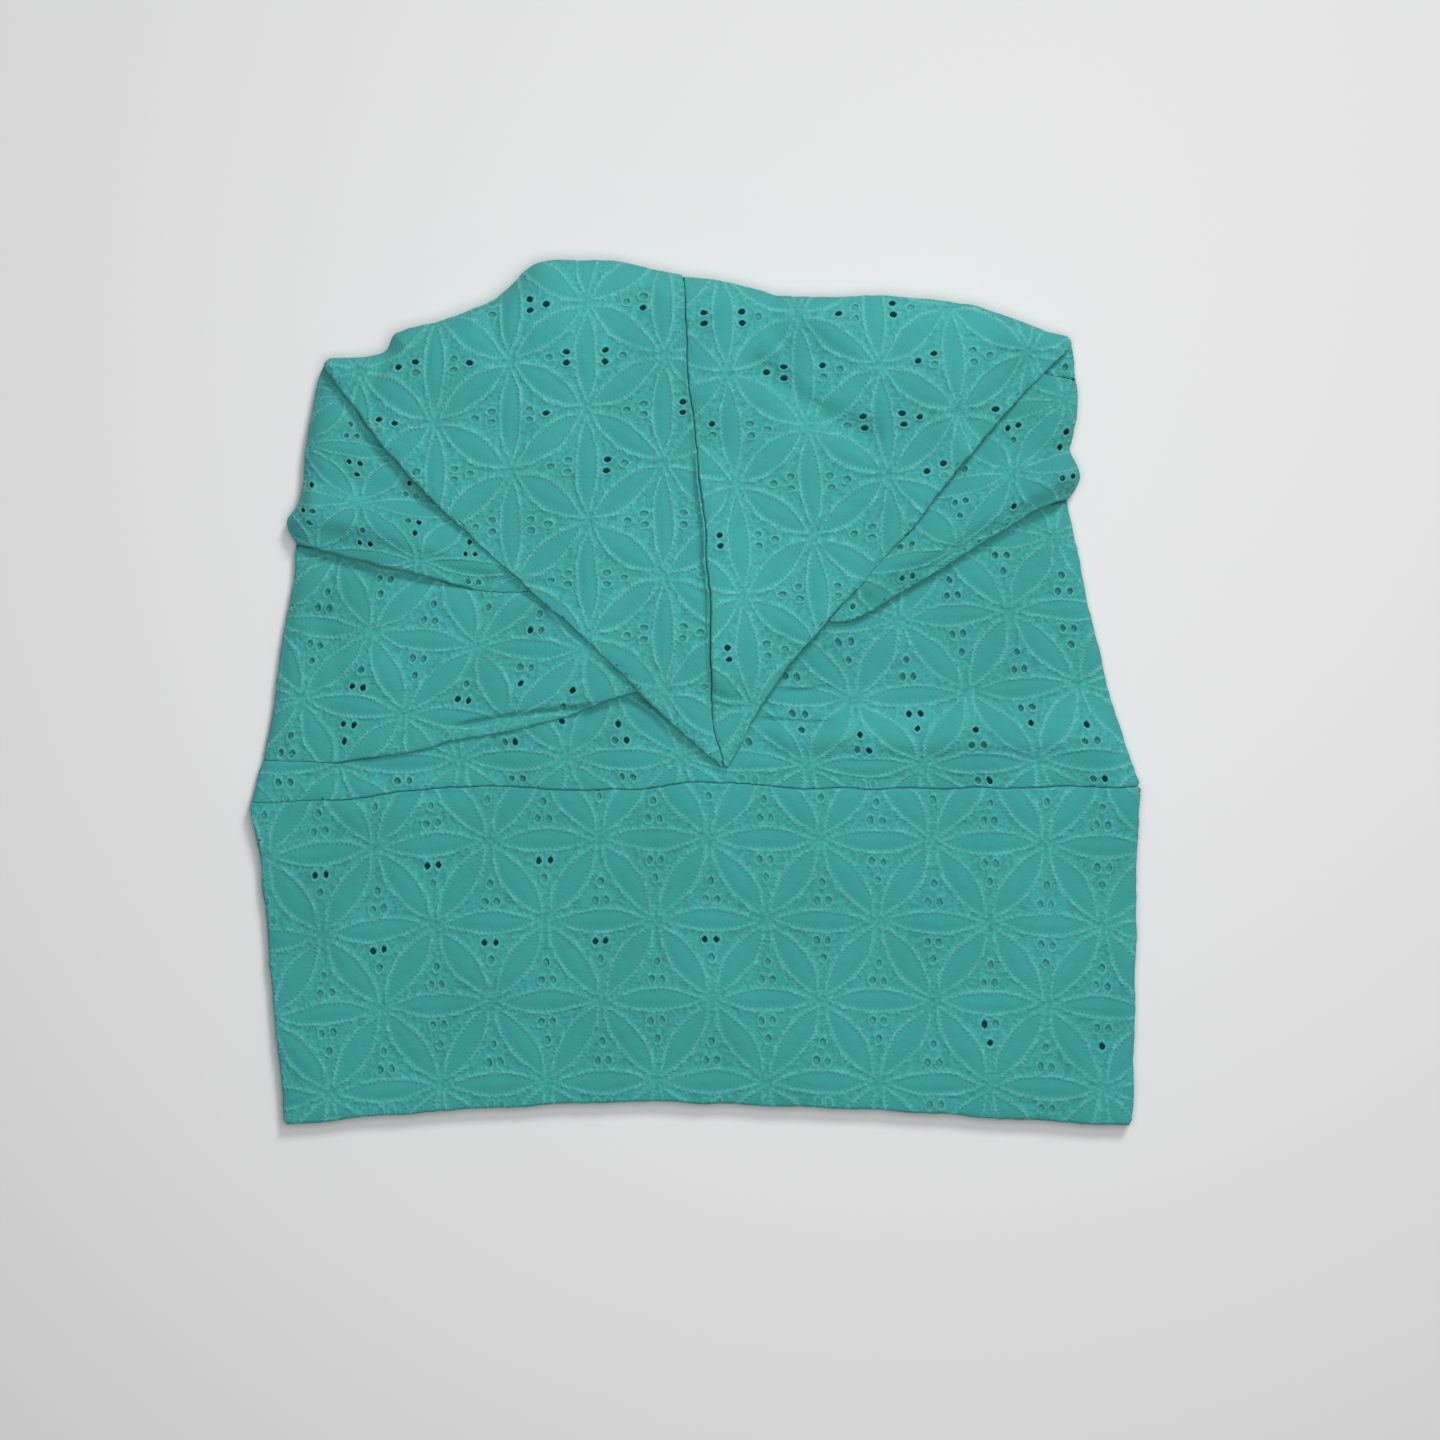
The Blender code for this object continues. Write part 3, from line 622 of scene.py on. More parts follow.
class Cap:
    """Curves, outlines and heights that the pieces share."""

    def __init__(self):
        self.seam = smooth_curve(BAND_SEAM)
        self.left_lowest = smooth_curve(LEFT_LOWEST)
        self.left_lower = smooth_curve(LEFT_LOWER)
        self.left_roll = smooth_curve(LEFT_ROLL)
        self.top_left = smooth_curve(TOP_LEFT)
        self.top_right = smooth_curve(TOP_RIGHT)
        self.right_tuck = smooth_curve(RIGHT_TUCK)
        self.right_roll = smooth_curve(RIGHT_ROLL)
        self.right_lower = smooth_curve(RIGHT_LOWER)
        self.left_fold = smooth_curve(FLAP_LEFT_FOLD)
        self.right_fold = smooth_curve(FLAP_RIGHT_FOLD)
        self.centre_seam = smooth_curve(CENTRE_SEAM)
        self.left_pleat = smooth_curve(LEFT_PLEAT)
        self.left_crease = smooth_curve(LEFT_ROLL_CREASE)
        self.right_crease = smooth_curve(RIGHT_ROLL_CREASE)
        self.tuck_lip = smooth_curve(TUCK_LIP)
        self.seams = np.vstack((self.seam, self.centre_seam[::-1]))
        self.crown_seam = self.seam + (0.0, SEAM_SPLIT / 2)
        self.skirt = np.vstack((
            self.left_lowest, self.left_lower, self.left_roll, self.top_left,
            self.top_right, self.right_tuck, self.right_roll, self.right_lower,
        ))
        self.crown = loop_of(self.crown_seam[::-1], self.skirt)
        band_left = smooth_curve(BAND_LEFT)
        band_bottom = smooth_curve(BAND_BOTTOM)
        band_right = smooth_curve(BAND_RIGHT)
        band_top = self.seam - (0.0, SEAM_SPLIT / 2)
        self.band = loop_of(band_bottom, band_right, band_top[::-1], band_left)
        self.band_skirt = np.vstack((band_left, band_bottom, band_right))
        self.rim = np.vstack((self.skirt, self.band_skirt[::-1]))
        self.front_outlines()
        seam_left = self.centre_seam - (SEAM_SPLIT / 2, 0.0)
        seam_right = self.centre_seam + (SEAM_SPLIT / 2, 0.0)
        self.flap_left = loop_of(
            self.left_fold, seam_left[-2:0:-1], self.top_left[-1:0:-1] - (SEAM_SPLIT / 2, 0.0)
        )
        self.flap_right = loop_of(seam_right, self.right_fold[-2::-1], self.top_right[::-1])

    def front_outlines(self):
        pleat_share = blend(self.left_pleat[:, 0], *PLEAT_COVERS)
        pleat_edge = beneath(self.left_pleat, pleat_share, PLEAT_UNDERLAP)
        crease_share = self.clear_share(self.right_crease)
        crease_edge = beneath(self.right_crease, crease_share, PLEAT_UNDERLAP)
        self.front = loop_of(
            self.crown_seam, self.right_lower[::-1], crease_edge[::-1], pleat_edge[::-1],
            self.left_lowest[::-1],
        )
        under_flap = shifted(self.left_fold, UNDERLAP)
        side_end = stretch(under_flap, *SIDE_UNDER_FLAP)
        roll_share = blend(self.left_crease[:, 0], *ROLL_COVERS)
        roll_edge = beneath(
            self.left_crease, roll_share * self.clear_share(self.left_crease), PLEAT_UNDERLAP
        )
        self.side = loop_of(
            self.left_pleat, side_end[::-1], roll_edge[::-1], self.left_lower[::-1]
        )
        roll_end = stretch(under_flap, *LEFT_ROLL_UNDER_FLAP)
        self.roll = loop_of(self.left_crease, roll_end[::-1], self.left_roll[::-1])
        under_right = shifted(self.right_fold, -UNDERLAP)
        right_end = stretch(under_right, *RIGHT_ROLL_UNDER_FLAP)
        self.right = loop_of(
            self.right_crease, self.right_roll[::-1], self.tuck_lip[::-1], right_end
        )
        lip = self.tuck_lip[::-1]
        tuck_low = beneath(lip, self.clear_share(lip), TUCK_UNDERLAP)[::-1]
        self.tuck = loop_of(tuck_low, self.right_tuck[::-1], np.array(TUCK_UNDER_FLAP))

    def clear_share(self, points):
        """0 near the garment's outline, where all layers meet, and 1 well inside it."""
        reach = CLEAR_OF_OUTLINE[1]
        gap = nearest_on(self.skirt, points, closed=False, reach=reach)[0]
        return blend(gap, *CLEAR_OF_OUTLINE)

    def turn(self, points):
        """Share of the full height that the cloth has reached, from the outline inwards."""
        radius = SIDE_TURN + (TOP_TURN - SIDE_TURN) * blend(points[:, 1], *TOP_TURN_GROWS)
        gap = nearest_on(self.skirt, points, closed=False, reach=TOP_TURN)[0]
        share = np.clip(gap / radius, 0.0, 1.0)
        return np.sqrt(1.0 - (1.0 - share)**2)

    def band_turn(self, points):
        gap = nearest_on(self.band_skirt, points, closed=False, reach=BAND_TURN)[0]
        share = np.clip(gap / BAND_TURN, 0.0, 1.0)
        return np.sqrt(1.0 - (1.0 - share)**2)

    def draped(self, height, fold_height, points):
        return fold_height + (height - fold_height) * self.turn(points)

    def front_height(self, points):
        return level(FRONT_PANEL_LEVEL, points) + hills(FRONT_HILLS, points)

    def side_height(self, points):
        lift = blend(points[:, 0], *LEFT_PLEAT_STARTS)
        return self.front_height(points) + STEP_UP * lift

    def left_roll_height(self, points):
        lift = blend(points[:, 0], *LEFT_ROLL_ENDS)
        return self.side_height(points) + STEP_UP * lift + hills(ROLL_HILLS, points)

    def right_roll_height(self, points):
        return self.front_height(points) + STEP_UP + hills(RIGHT_ROLL_HILLS, points)

    def front_top(self, points):
        return self.draped(self.front_height(points), FOLD_TOP, points)

    def side_top(self, points):
        return self.draped(self.side_height(points), FOLD_TOP, points)

    def left_roll_top(self, points):
        return self.draped(self.left_roll_height(points), FOLD_TOP, points)

    def right_roll_top(self, points):
        return self.draped(self.right_roll_height(points), FOLD_TOP, points)

    def tuck_top(self, points):
        return self.draped(np.full(len(points), TUCK_LEVEL), FOLD_TOP, points)

    def crown_stretches(self):
        """Node, outline, crossings, height and creases of each stretch beside the flap."""
        return (
            ("crown_front_lower", self.front, FRONT_CROSSINGS, self.front_top, FRONT_CREASES),
            ("crown_front_left", self.side, SIDE_CROSSINGS, self.side_top, SIDE_CREASES),
            ("crown_left_roll", self.roll, ROLL_CROSSINGS, self.left_roll_top, ROLL_CREASES),
            ("crown_right_roll", self.right, RIGHT_ROLL_CROSSINGS, self.right_roll_top,
             RIGHT_ROLL_CREASES),
            ("crown_right_tuck", self.tuck, RIGHT_ROLL_CROSSINGS, self.tuck_top, ()),
        )

    def finished(self, height, rows, points):
        """A cloth's height with its fine creases and its unevenness."""
        return height(points) + (creases(rows, points) + ripple(points)) * self.turn(points)

    def flap_lowest(self, points):
        """Underside at the outline, lifted at both corners where other layers end beneath."""
        return LOWEST_FRONT + hills(CORNER_LIFTS, points)

    def flap_top(self, points):
        fold = self.flap_lowest(points) + DOUBLED_CLOTH
        height = level(FLAP_LEVEL, points) + hills(FLAP_HILLS, points)
        return self.draped(height, fold, points)

    def band_top(self, points):
        height = BAND_LEVEL + hills(BAND_WAVES, points)
        fold = DOUBLED_CLOTH * 2 + GAP
        return fold + (height - fold) * self.band_turn(points)


class Chart:
    """Where the pattern's repeats and rows lie on a piece, from crossings in the photo."""

    def __init__(self, crossings, degree=1, ease=22.0):
        rows = np.array(crossings, dtype=float)
        self.places = from_photo(rows[:, :2])
        self.degree = degree
        self.ease = ease
        self.weights = np.linalg.lstsq(self.terms(self.places), rows[:, 2:], rcond=None)[0]
        self.error = rows[:, 2:] - self.terms(self.places) @ self.weights

    def terms(self, points):
        x, y = points[:, 0] / 100.0, points[:, 1] / 100.0
        columns = [np.ones_like(x), x, y]
        if self.degree > 1:
            columns += [x * x, x * y, y * y]
        return np.column_stack(columns)

    def lattice(self, points):
        """Repeat and row at each point."""
        found = self.terms(points) @ self.weights
        total = np.full(len(points), 0.35)
        pull = np.zeros((len(points), 2))
        for place, error in zip(self.places, self.error):
            gap = np.sum((points - place)**2, axis=1) / self.ease**2
            weight = np.exp(-gap)
            total += weight
            pull += weight[:, None] * error
        return found + pull / total[:, None]

    def in_plan(self, points, along, across):
        """A small step in cloth millimetres as a step on the plan."""
        small = 0.5
        base = self.lattice(points)
        by_x = (self.lattice(points + (small, 0.0)) - base) / small
        by_y = (self.lattice(points + (0.0, small)) - base) / small
        repeat, row = along / REPEAT, across / ROW
        scale = by_x[:, 0] * by_y[:, 1] - by_y[:, 0] * by_x[:, 1]
        return np.column_stack((
            (repeat * by_y[:, 1] - row * by_y[:, 0]) / scale,
            (row * by_x[:, 0] - repeat * by_x[:, 1]) / scale,
        ))


def petals(lattice):
    """Above 0 inside a petal and 0 on its outline, in repeats."""
    flat_x, flat_y = lattice[:, 0], lattice[:, 1] * HEX_ROW
    best = np.full(len(lattice), -1.0)
    for turn in (0.0, 60.0, 120.0):
        cosine, sine = math.cos(math.radians(turn)), math.sin(math.radians(turn))
        along = flat_x * cosine + flat_y * sine
        across = flat_y * cosine - flat_x * sine
        row = np.round(across / HEX_ROW)
        across = across - row * HEX_ROW
        along = (along - row / 2) % 1.0 - 0.5
        width = PETAL_HALF_WIDTH * (1.0 - (2.0 * along / PETAL_LENGTH)**2)
        best = np.maximum(best, width - np.abs(across))
    return best


def eyelets(lattice):
    """Offset from the nearest eyelet's middle in cloth millimetres, and in its radii."""
    row = np.floor(lattice[:, 1])
    lift = lattice[:, 1] - row
    share = (lattice[:, 0] - lattice[:, 1] / 2) % 1.0
    down = share + lift > 1.0
    middle = np.where(down, 2.0 / 3.0, 1.0 / 3.0)
    sign = np.where(down, -1.0, 1.0)
    along = ((share - middle) + (lift - middle) / 2) * REPEAT * sign
    across = (lift - middle) * ROW * sign
    best = np.full(len(lattice), np.inf)
    offset = np.zeros((len(lattice), 2))
    for middle_along, middle_across in (
        (-EYELET_PAIR, -EYELET_PAIR_DROP), (EYELET_PAIR, -EYELET_PAIR_DROP), (0.0, EYELET_APEX),
    ):
        off_along = along - middle_along
        off_across = across - middle_across
        radii = np.hypot(off_along / EYELET_RADII[0], off_across / EYELET_RADII[1])
        closer = radii < best
        best[closer] = radii[closer]
        offset[closer] = np.column_stack((off_along, off_across))[closer] * sign[closer, None]
    return offset, best


def embroidery(lattice, settings):
    """Height of puffed petals, satin stitch and eyelet rings above the jersey."""
    field = petals(lattice)
    puff = settings.puff * blend(field, 0.0, PETAL_HALF_WIDTH)
    line = settings.stitch * np.exp(-(field / LINE_WIDTH)**2)
    _, radii = eyelets(lattice)
    ring = RING_RAISE * np.exp(-((radii - 1.5) / 0.4)**2)
    return puff + np.maximum(line, ring)


def grid_over(shape, outline, cell):
    """A flat grid of square cells over an outline."""
    low = outline.min(axis=0) - cell
    high = outline.max(axis=0) + cell
    middle = (low + high) / 2
    columns, rows = (int(math.ceil(side / cell)) for side in high - low)
    place = Matrix.Translation((middle[0], middle[1], 0.0))
    size = Matrix.Diagonal((columns * cell, rows * cell, 1.0, 1.0))
    made = bmesh.ops.create_grid(
        shape, x_segments=columns, y_segments=rows, size=0.5, matrix=place @ size
    )
    return made["verts"]


def cut_out(shape, corners, outline, cell, chart=None):
    """Trims a grid to an outline and opens its eyelets. Returns the corners on both."""
    points = np.array([corner.co.xy for corner in corners])
    gap, foot, _ = depth_within(outline, points, reach=max(RIM_REACH, cell))
    on_edge = np.abs(gap) <= cell / 2
    gone = gap < -cell / 2
    moved = np.where(on_edge[:, None], foot, points)
    on_eyelet = np.zeros(len(points), dtype=bool)
    if chart:
        offset, radii = eyelets(chart.lattice(points))
        reach = (radii - 1.0) * EYELET_MEAN
        close = np.flatnonzero((reach < cell / 2) & (gap > 0.0))
        step = chart.in_plan(points[close], offset[close, 0], offset[close, 1])
        middles = points[close] - step
        sound = depth_within(outline, middles, reach=RIM_REACH)[0] > EYELET_MARGIN
        close, step, middles = close[sound], step[sound], middles[sound]
        rim = reach[close] >= -cell / 2
        on_eyelet[close[rim]] = True
        moved[close[rim]] = middles[rim] + step[rim] / radii[close[rim], None]
        gone[close[~rim]] = True
    for corner, (x, y) in zip(corners, moved):
        corner.co.x = x
        corner.co.y = y
    lost = {corner for corner, out in zip(corners, gone) if out}
    corner_faces = []
    for face in {face for corner in lost for face in corner.link_faces}:
        kept = [corner for corner in face.verts if corner not in lost]
        if len(kept) == 3:
            corner_faces.append(kept)
    bmesh.ops.delete(shape, geom=list(lost), context="VERTS")
    for kept in corner_faces:
        shape.faces.new(kept)
    stray = [corner for corner in shape.verts if not corner.link_faces]
    bmesh.ops.delete(shape, geom=stray, context="VERTS")
    edge = {c for c, on, out in zip(corners, on_edge, gone) if on and not out and c.is_valid}
    eyelet = {c for c, on, out in zip(corners, on_eyelet, gone) if on and not out and c.is_valid}
    return edge, eyelet


def pulled_down(shape, edges, outward, steps):
    """Extrudes an edge again and again, each time by a share of its way out and down."""
    ways = {tuple(corner.co): way for corner, way in outward.items()}
    for out, down in steps:
        made = bmesh.ops.extrude_edge_only(shape, edges=edges)["geom"]
        edges = [item for item in made if isinstance(item, bmesh.types.BMEdge)]
        fresh = [item for item in made if isinstance(item, bmesh.types.BMVert)]
        next_ways = {}
        for corner in fresh:
            way = ways[tuple(corner.co)]
            corner.co += Vector((way[0] * out, way[1] * out, -way[2] * down))
            next_ways[tuple(corner.co)] = way
        ways = next_ways


def roll_radius(outline, radius, seams):
    """Radius of the lip at each point of an outline: less at seams and where cloths merge."""
    gap = nearest_on(seams, outline, closed=False, reach=RIM_REACH)[0]
    share = SEAM_ROLL + (1.0 - SEAM_ROLL) * blend(gap, 1.0, 3.0)
    for x, y, reach in MERGED:
        gap = np.linalg.norm(outline - (x, y), axis=1)
        share = np.minimum(share, LEAST_ROLL + (1.0 - LEAST_ROLL) * blend(gap, reach * 0.6, reach))
    return radius * share


def roll_edges(shape, corners, outline, radius, cap):
    """Turns the cut edge round and under, and at the garment's rim down to the back."""
    edges = [e for e in shape.edges if e.is_boundary and all(c in corners for c in e.verts)]
    ends = list({corner for edge in edges for corner in edge.verts})
    places = np.array([corner.co.xy for corner in ends])
    tops = np.array([corner.co.z for corner in ends])
    _, _, outward = nearest_on(outline, places, reach=RIM_REACH)
    outward *= roll_radius(places, radius, cap.seams)[:, None]
    gap = nearest_on(cap.rim, places, closed=False, reach=RIM_REACH)[0]
    at_rim = 1.0 - blend(gap, radius * RIM_SHARES[0], radius * RIM_SHARES[1])
    shallow = np.full(len(ends), 2.0 * radius)
    depth = shallow + (np.maximum(tops - BACK_LIP, shallow) - shallow) * at_rim
    steps = []
    last_out, last_down = 0.0, 0.0
    for turn in ROLL_TURNS:
        out = math.sin(math.radians(turn))
        down = (1.0 - math.cos(math.radians(turn))) / 2.0
        steps.append((out - last_out, down - last_down))
        last_out, last_down = out, down
    pulled_down(shape, edges, dict(zip(ends, np.column_stack((outward, depth)))), steps)


def line_eyelets(shape, corners):
    """Gives each eyelet a wall as deep as the cloth is thick."""
    edges = [e for e in shape.edges if e.is_boundary and all(c in corners for c in e.verts)]
    straight = {corner: (0.0, 0.0, EYELET_DEPTH) for edge in edges for corner in edge.verts}
    pulled_down(shape, edges, straight, [(0.0, 0.5), (0.0, 0.5)])


def dark_share(points, chart, places):
    """1 under an eyelet that looks through to the dark inside, 0 away from it: the lining's pocket
    and its painted shade both follow this.
    """
    share = np.zeros(len(points))
    found = from_photo(places)
    offset, _ = eyelets(chart.lattice(found))
    for place in found - chart.in_plan(found, offset[:, 0], offset[:, 1]):
        gap = np.linalg.norm(points - place, axis=1)
        share = np.maximum(share, 1.0 - blend(gap, *DARK_REACH))
    return share


def sewn_piece(name, shape, chart, material, dark=()):
    """A finished mesh object in metres, with its pattern's coordinates and its share of painted
    shade on it.
    """
    shape.normal_update()
    mesh = bpy.data.meshes.new(name)
    shape.to_mesh(mesh)
    shape.free()
    count = len(mesh.vertices)
    places = np.empty(count * 3)
    mesh.vertices.foreach_get("co", places)
    places = places.reshape(count, 3)
    lattice = chart.lattice(places[:, :2]) * (1.0, HEX_ROW)
    corner_of = np.empty(len(mesh.loops), dtype=np.int64)
    mesh.loops.foreach_get("vertex_index", corner_of)
    pattern = mesh.uv_layers.new(name="pattern")
    pattern.data.foreach_set("uv", lattice[corner_of].ravel())
    # Share of painted shade on the lining, beneath the eyelets that look through.
    depth = mesh.attributes.new("dark", "FLOAT", "POINT")
    depth.data.foreach_set("value", dark if len(dark) else np.zeros(count))
    places[:, :2] = warped(places[:, :2])
    mesh.vertices.foreach_set("co", (places * MM).ravel())
    mesh.shade_smooth()
    mesh.materials.append(material)
    piece = bpy.data.objects.new(name, mesh)
    bpy.context.scene.collection.objects.link(piece)
    return piece


class Cutter:
    """Cuts and drapes one piece of cloth."""

    def __init__(self, scene):
        self.cap = Cap()
        self.settings = scene.turban_cloth
        self.scale = self.settings.cell_scale
        self.radius = self.settings.roll / MM

    def show_side(self, shape, outline, cell, chart, height):
        """The side that is seen: trimmed, embroidered, rolled at its edges."""
        cell *= self.scale
        trim = inset(outline, roll_radius(outline, self.radius, self.cap.seams))
        corners = grid_over(shape, trim, cell)
        edge, eyelet = cut_out(shape, corners, trim, cell, chart)
        kept = [corner for corner in corners if corner.is_valid]
        points = np.array([corner.co.xy for corner in kept])
        relief = embroidery(chart.lattice(points), self.settings)
        gap = depth_within(trim, points, reach=RIM_REACH)[0]
        relief *= blend(gap, -0.2, 2.0)
        tops = height(points) + relief
        for corner, top in zip(kept, tops):
            corner.co.z = top
        roll_edges(shape, edge, trim, self.radius, self.cap)
        line_eyelets(shape, eyelet)

    def lining(self, shape, outline, height, cell=LINING_CELL, drop=LINING_DROP, hidden=()):
        """The layer just beneath, with pockets under the eyelets that look through. Returns its
        corners and its share of painted shade.
        """
        cell *= self.scale
        trim = inset(outline, self.radius)
        corners = grid_over(shape, trim, cell)
        cut_out(shape, corners, trim, cell)
        kept = [corner for corner in corners if corner.is_valid]
        points = np.array([corner.co.xy for corner in kept])
        share = np.zeros(len(points))
        for chart, places in hidden:
            share = np.maximum(share, dark_share(points, chart, places))
        lows = height(points) - drop - POCKET * share
        for corner, low in zip(kept, lows):
            corner.co.z = low
        shape.verts.index_update()
        dark = np.zeros(len(shape.verts))
        dark[[corner.index for corner in kept]] = share
        return kept, dark


def sheet_of(piece, outline, layers, held, rests_on):
    width, length = (outline.max(axis=0) - outline.min(axis=0)) * MM
    area = enclosed_area(outline) * layers * MM * MM
    length * layers


def hand_over(piece, node):
    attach(piece, ROOT)
    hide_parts(node)


class Socket:
    """A value in a material that takes part in arithmetic."""

    def __init__(self, paint, end):
        self.paint = paint
        self.end = end

    def __add__(self, other):
        return self.paint.math("ADD", self, other)

    def __sub__(self, other):
        return self.paint.math("SUBTRACT", self, other)

    def __rsub__(self, other):
        return self.paint.math("SUBTRACT", other, self)

    def __mul__(self, other):
        return self.paint.math("MULTIPLY", self, other)

    def __truediv__(self, other):
        return self.paint.math("DIVIDE", self, other)

    __radd__ = __add__
    __rmul__ = __mul__


class Paint:
    """One material and the nodes it is made of."""

    def __init__(self, name):
        self.material = bpy.data.materials.new(name)
        self.material.use_nodes = True
        self.tree = self.material.node_tree
        self.surface = self.tree.nodes["Principled BSDF"]

    def node(self, kind, settings=None, values=None, output=0):
        made = self.tree.nodes.new(kind)
        for key, value in (settings or {}).items():
            setattr(made, key, value)
        for key, value in (values or {}).items():
            self.feed(made.inputs[key], value)
        return Socket(self, made.outputs[output])

    def feed(self, entry, value):
        if isinstance(value, Socket):
            self.tree.links.new(value.end, entry)
        else:
            entry.default_value = value

    def math(self, operation, *values):
        return self.node("ShaderNodeMath", {"operation": operation}, dict(enumerate(values)))

    def bell(self, value, width):
        """1 where value is 0, falling softly to 0 on both sides."""
        share = value / width
        return self.math("EXPONENT", share * share * -1.0)

    def ramp(self, value, low, high):
        """0 below low and 1 above high, smooth between."""
        settings = {"interpolation_type": "SMOOTHSTEP"}
        values = {"Value": value, "From Min": low, "From Max": high}
        return self.node("ShaderNodeMapRange", settings, values)

    def mix(self, share, first, second):
        made = self.tree.nodes.new("ShaderNodeMix")
        made.data_type = "RGBA"
        self.feed(made.inputs["Factor"], share)
        self.feed(made.inputs[6], first)
        self.feed(made.inputs[7], second)
        return Socket(self, made.outputs[2])


def petal_paint(paint, along, across):
    """The petals' field and the place along the nearest petal, as sockets."""
    best = None
    best_along = None
    for turn in (0.0, 60.0, 120.0):
        cosine, sine = math.cos(math.radians(turn)), math.sin(math.radians(turn))
        run = along * cosine + across * sine
        rise = across * cosine - along * sine
        row = paint.math("ROUND", rise / HEX_ROW)
        off = paint.math("ABSOLUTE", rise - row * HEX_ROW)
        spot = paint.math("FRACT", run - row * 0.5) - 0.5
        wide = (1.0 - spot * spot * (4.0 / PETAL_LENGTH**2)) * PETAL_HALF_WIDTH
        field = wide - off
        if best is None:
            best, best_along = field, spot
        else:
            closer = paint.math("GREATER_THAN", field, best)
            best_along = best_along + closer * (spot - best_along)
            best = paint.math("MAXIMUM", field, best)
    return best, best_along


def eyelet_paint(paint, along, across):
    """Distance to the nearest eyelet in its radii, as a socket."""
    lift_all = across / HEX_ROW
    lift = paint.math("FRACT", lift_all)
    share = paint.math("FRACT", along - lift_all * 0.5)
    down = paint.math("GREATER_THAN", share + lift, 1.0)
    middle = down / 3.0 + 1.0 / 3.0
    sign = 1.0 - down * 2.0
    rise = lift - middle
    run = ((share - middle) + rise * 0.5) * sign * REPEAT
    rise = rise * sign * ROW
    best = None
    for middle_along, middle_across in (
        (None, -EYELET_PAIR_DROP), (0.0, EYELET_APEX),
    ):
        if middle_along is None:
            off_along = paint.math("ABSOLUTE", run) - EYELET_PAIR
        else:
            off_along = run
        off_along = off_along / EYELET_RADII[0]
        off_across = (rise - middle_across) / EYELET_RADII[1]
        radii = paint.math("SQRT", off_along * off_along + off_across * off_across)
        best = radii if best is None else paint.math("MINIMUM", best, radii)
    return best


def jersey(name, painted_light_tint, colours):
    """Embroidered eyelet jersey: smooth petals, stitched ground, lighter thread, in one piece's
    copy made lighter or darker as painted light and shade.
    """
    paint = Paint(name)
    pattern = paint.node("ShaderNodeUVMap", {"uv_map": "pattern"})
    split = paint.node("ShaderNodeSeparateXYZ", values={0: pattern})
    along = split
    across = Socket(paint, split.end.node.outputs[1])
    place = paint.node("ShaderNodeTexCoord", output=3)
    uneven = paint.node(
        "ShaderNodeTexNoise", values={"Vector": place, "Scale": 26.0, "Detail": 3.0}
    )
    mottle = paint.node(
        "ShaderNodeTexNoise", values={"Vector": place, "Scale": 360.0, "Detail": 3.0}
    )
    ground = paint.node(
        "ShaderNodeTexNoise", values={"Vector": place, "Scale": 800.0, "Detail": 1.0}
    )
    knit = paint.node(
        "ShaderNodeTexNoise", values={"Vector": place, "Scale": 1500.0, "Detail": 1.0}
    )

    field, spot = petal_paint(paint, along, across)
    zigzag = paint.math("PINGPONG", spot, STITCH_PITCH / 2.0) / (STITCH_PITCH / 2.0) - 0.5
    wander = (mottle - 0.5) * 0.045
    line = paint.bell(field + zigzag * 0.016 + wander - 0.002, 0.0225)
    # Stitch holes beside the satin stitch: they sink in the bump and get painted shade in the
    # colour.
    holes = paint.bell(field + wander - 0.034, 0.008) * paint.ramp(zigzag, 0.0, 0.4)
    middle = 1.0 - paint.ramp(paint.math("ABSOLUTE", spot), 0.3, 0.45) * 0.5
    petal = paint.ramp(field, 0.008, 0.03)
    radii = eyelet_paint(paint, along, across)
    ring = paint.bell(radii - 1.5, 0.4)
    # Painted shade inside each eyelet's outline: a dark disc where no hole is cut, a dark band at
    # the rim of a cut one.
    closed = paint.ramp(1.15 - radii, 0.0, 0.35)
    thread = paint.math("MAXIMUM", line * middle * (mottle * 1.9 - 0.2), ring * (mottle + 0.15))

    # Painted light and shade: each piece's copy of the one jersey is scaled lighter or darker by
    # channel, for how the light falls on it.
    jersey_colour = (*[c * t for c, t in zip(colours.jersey, painted_light_tint)], 1.0)
    ground_colour = (*[c * t for c, t in zip(colours.ground, painted_light_tint)], 1.0)
    thread_colour = (*[c * t for c, t in zip(colours.thread, painted_light_tint)], 1.0)
    base = paint.mix(petal, ground_colour, jersey_colour)
    base = paint.mix(thread * 0.75, base, thread_colour)
    coarse = (1.0 - petal) * (ground - 0.5) * 0.75
    # Random tone of the cloth, then painted shade in the eyelets and in the stitch holes.
    shade = paint.ramp(uneven, 0.3, 0.7) * 0.1 + (mottle - 0.5) * 0.14 + coarse + 0.95
    shade = shade * (1.0 - closed * 0.1) * (1.0 - holes * 0.07)
    toned = paint.node("ShaderNodeVectorMath", {"operation": "SCALE"}, {0: base, "Scale": shade})
    # Painted shade: beneath the eyelets that look through, the lining turns to the colour of the
    # unlit inside.
    dark = paint.node("ShaderNodeAttribute", {"attribute_name": "dark"}, output=2)
    painted_shade_colour = (*colours.inside, 1.0)
    paint.feed(paint.surface.inputs["Base Color"], paint.mix(dark, toned, painted_shade_colour))

    rough = 0.88 - thread * 0.12
    paint.feed(paint.surface.inputs["Roughness"], rough)
    height = thread * 0.7 - holes * 0.2 + (mottle - 0.5) * 0.5 + (knit - 0.5) * 0.3 + coarse * 1.4
    bump = paint.node(
        "ShaderNodeBump", values={"Strength": 0.9, "Distance": 0.0004, "Height": height}
    )
    paint.feed(paint.surface.inputs["Normal"], bump)
    paint.surface.inputs["Specular IOR Level"].default_value = 0.25
    paint.surface.inputs["Sheen Weight"].default_value = 0.08
    paint.surface.inputs["Sheen Roughness"].default_value = 0.5
    return paint.material


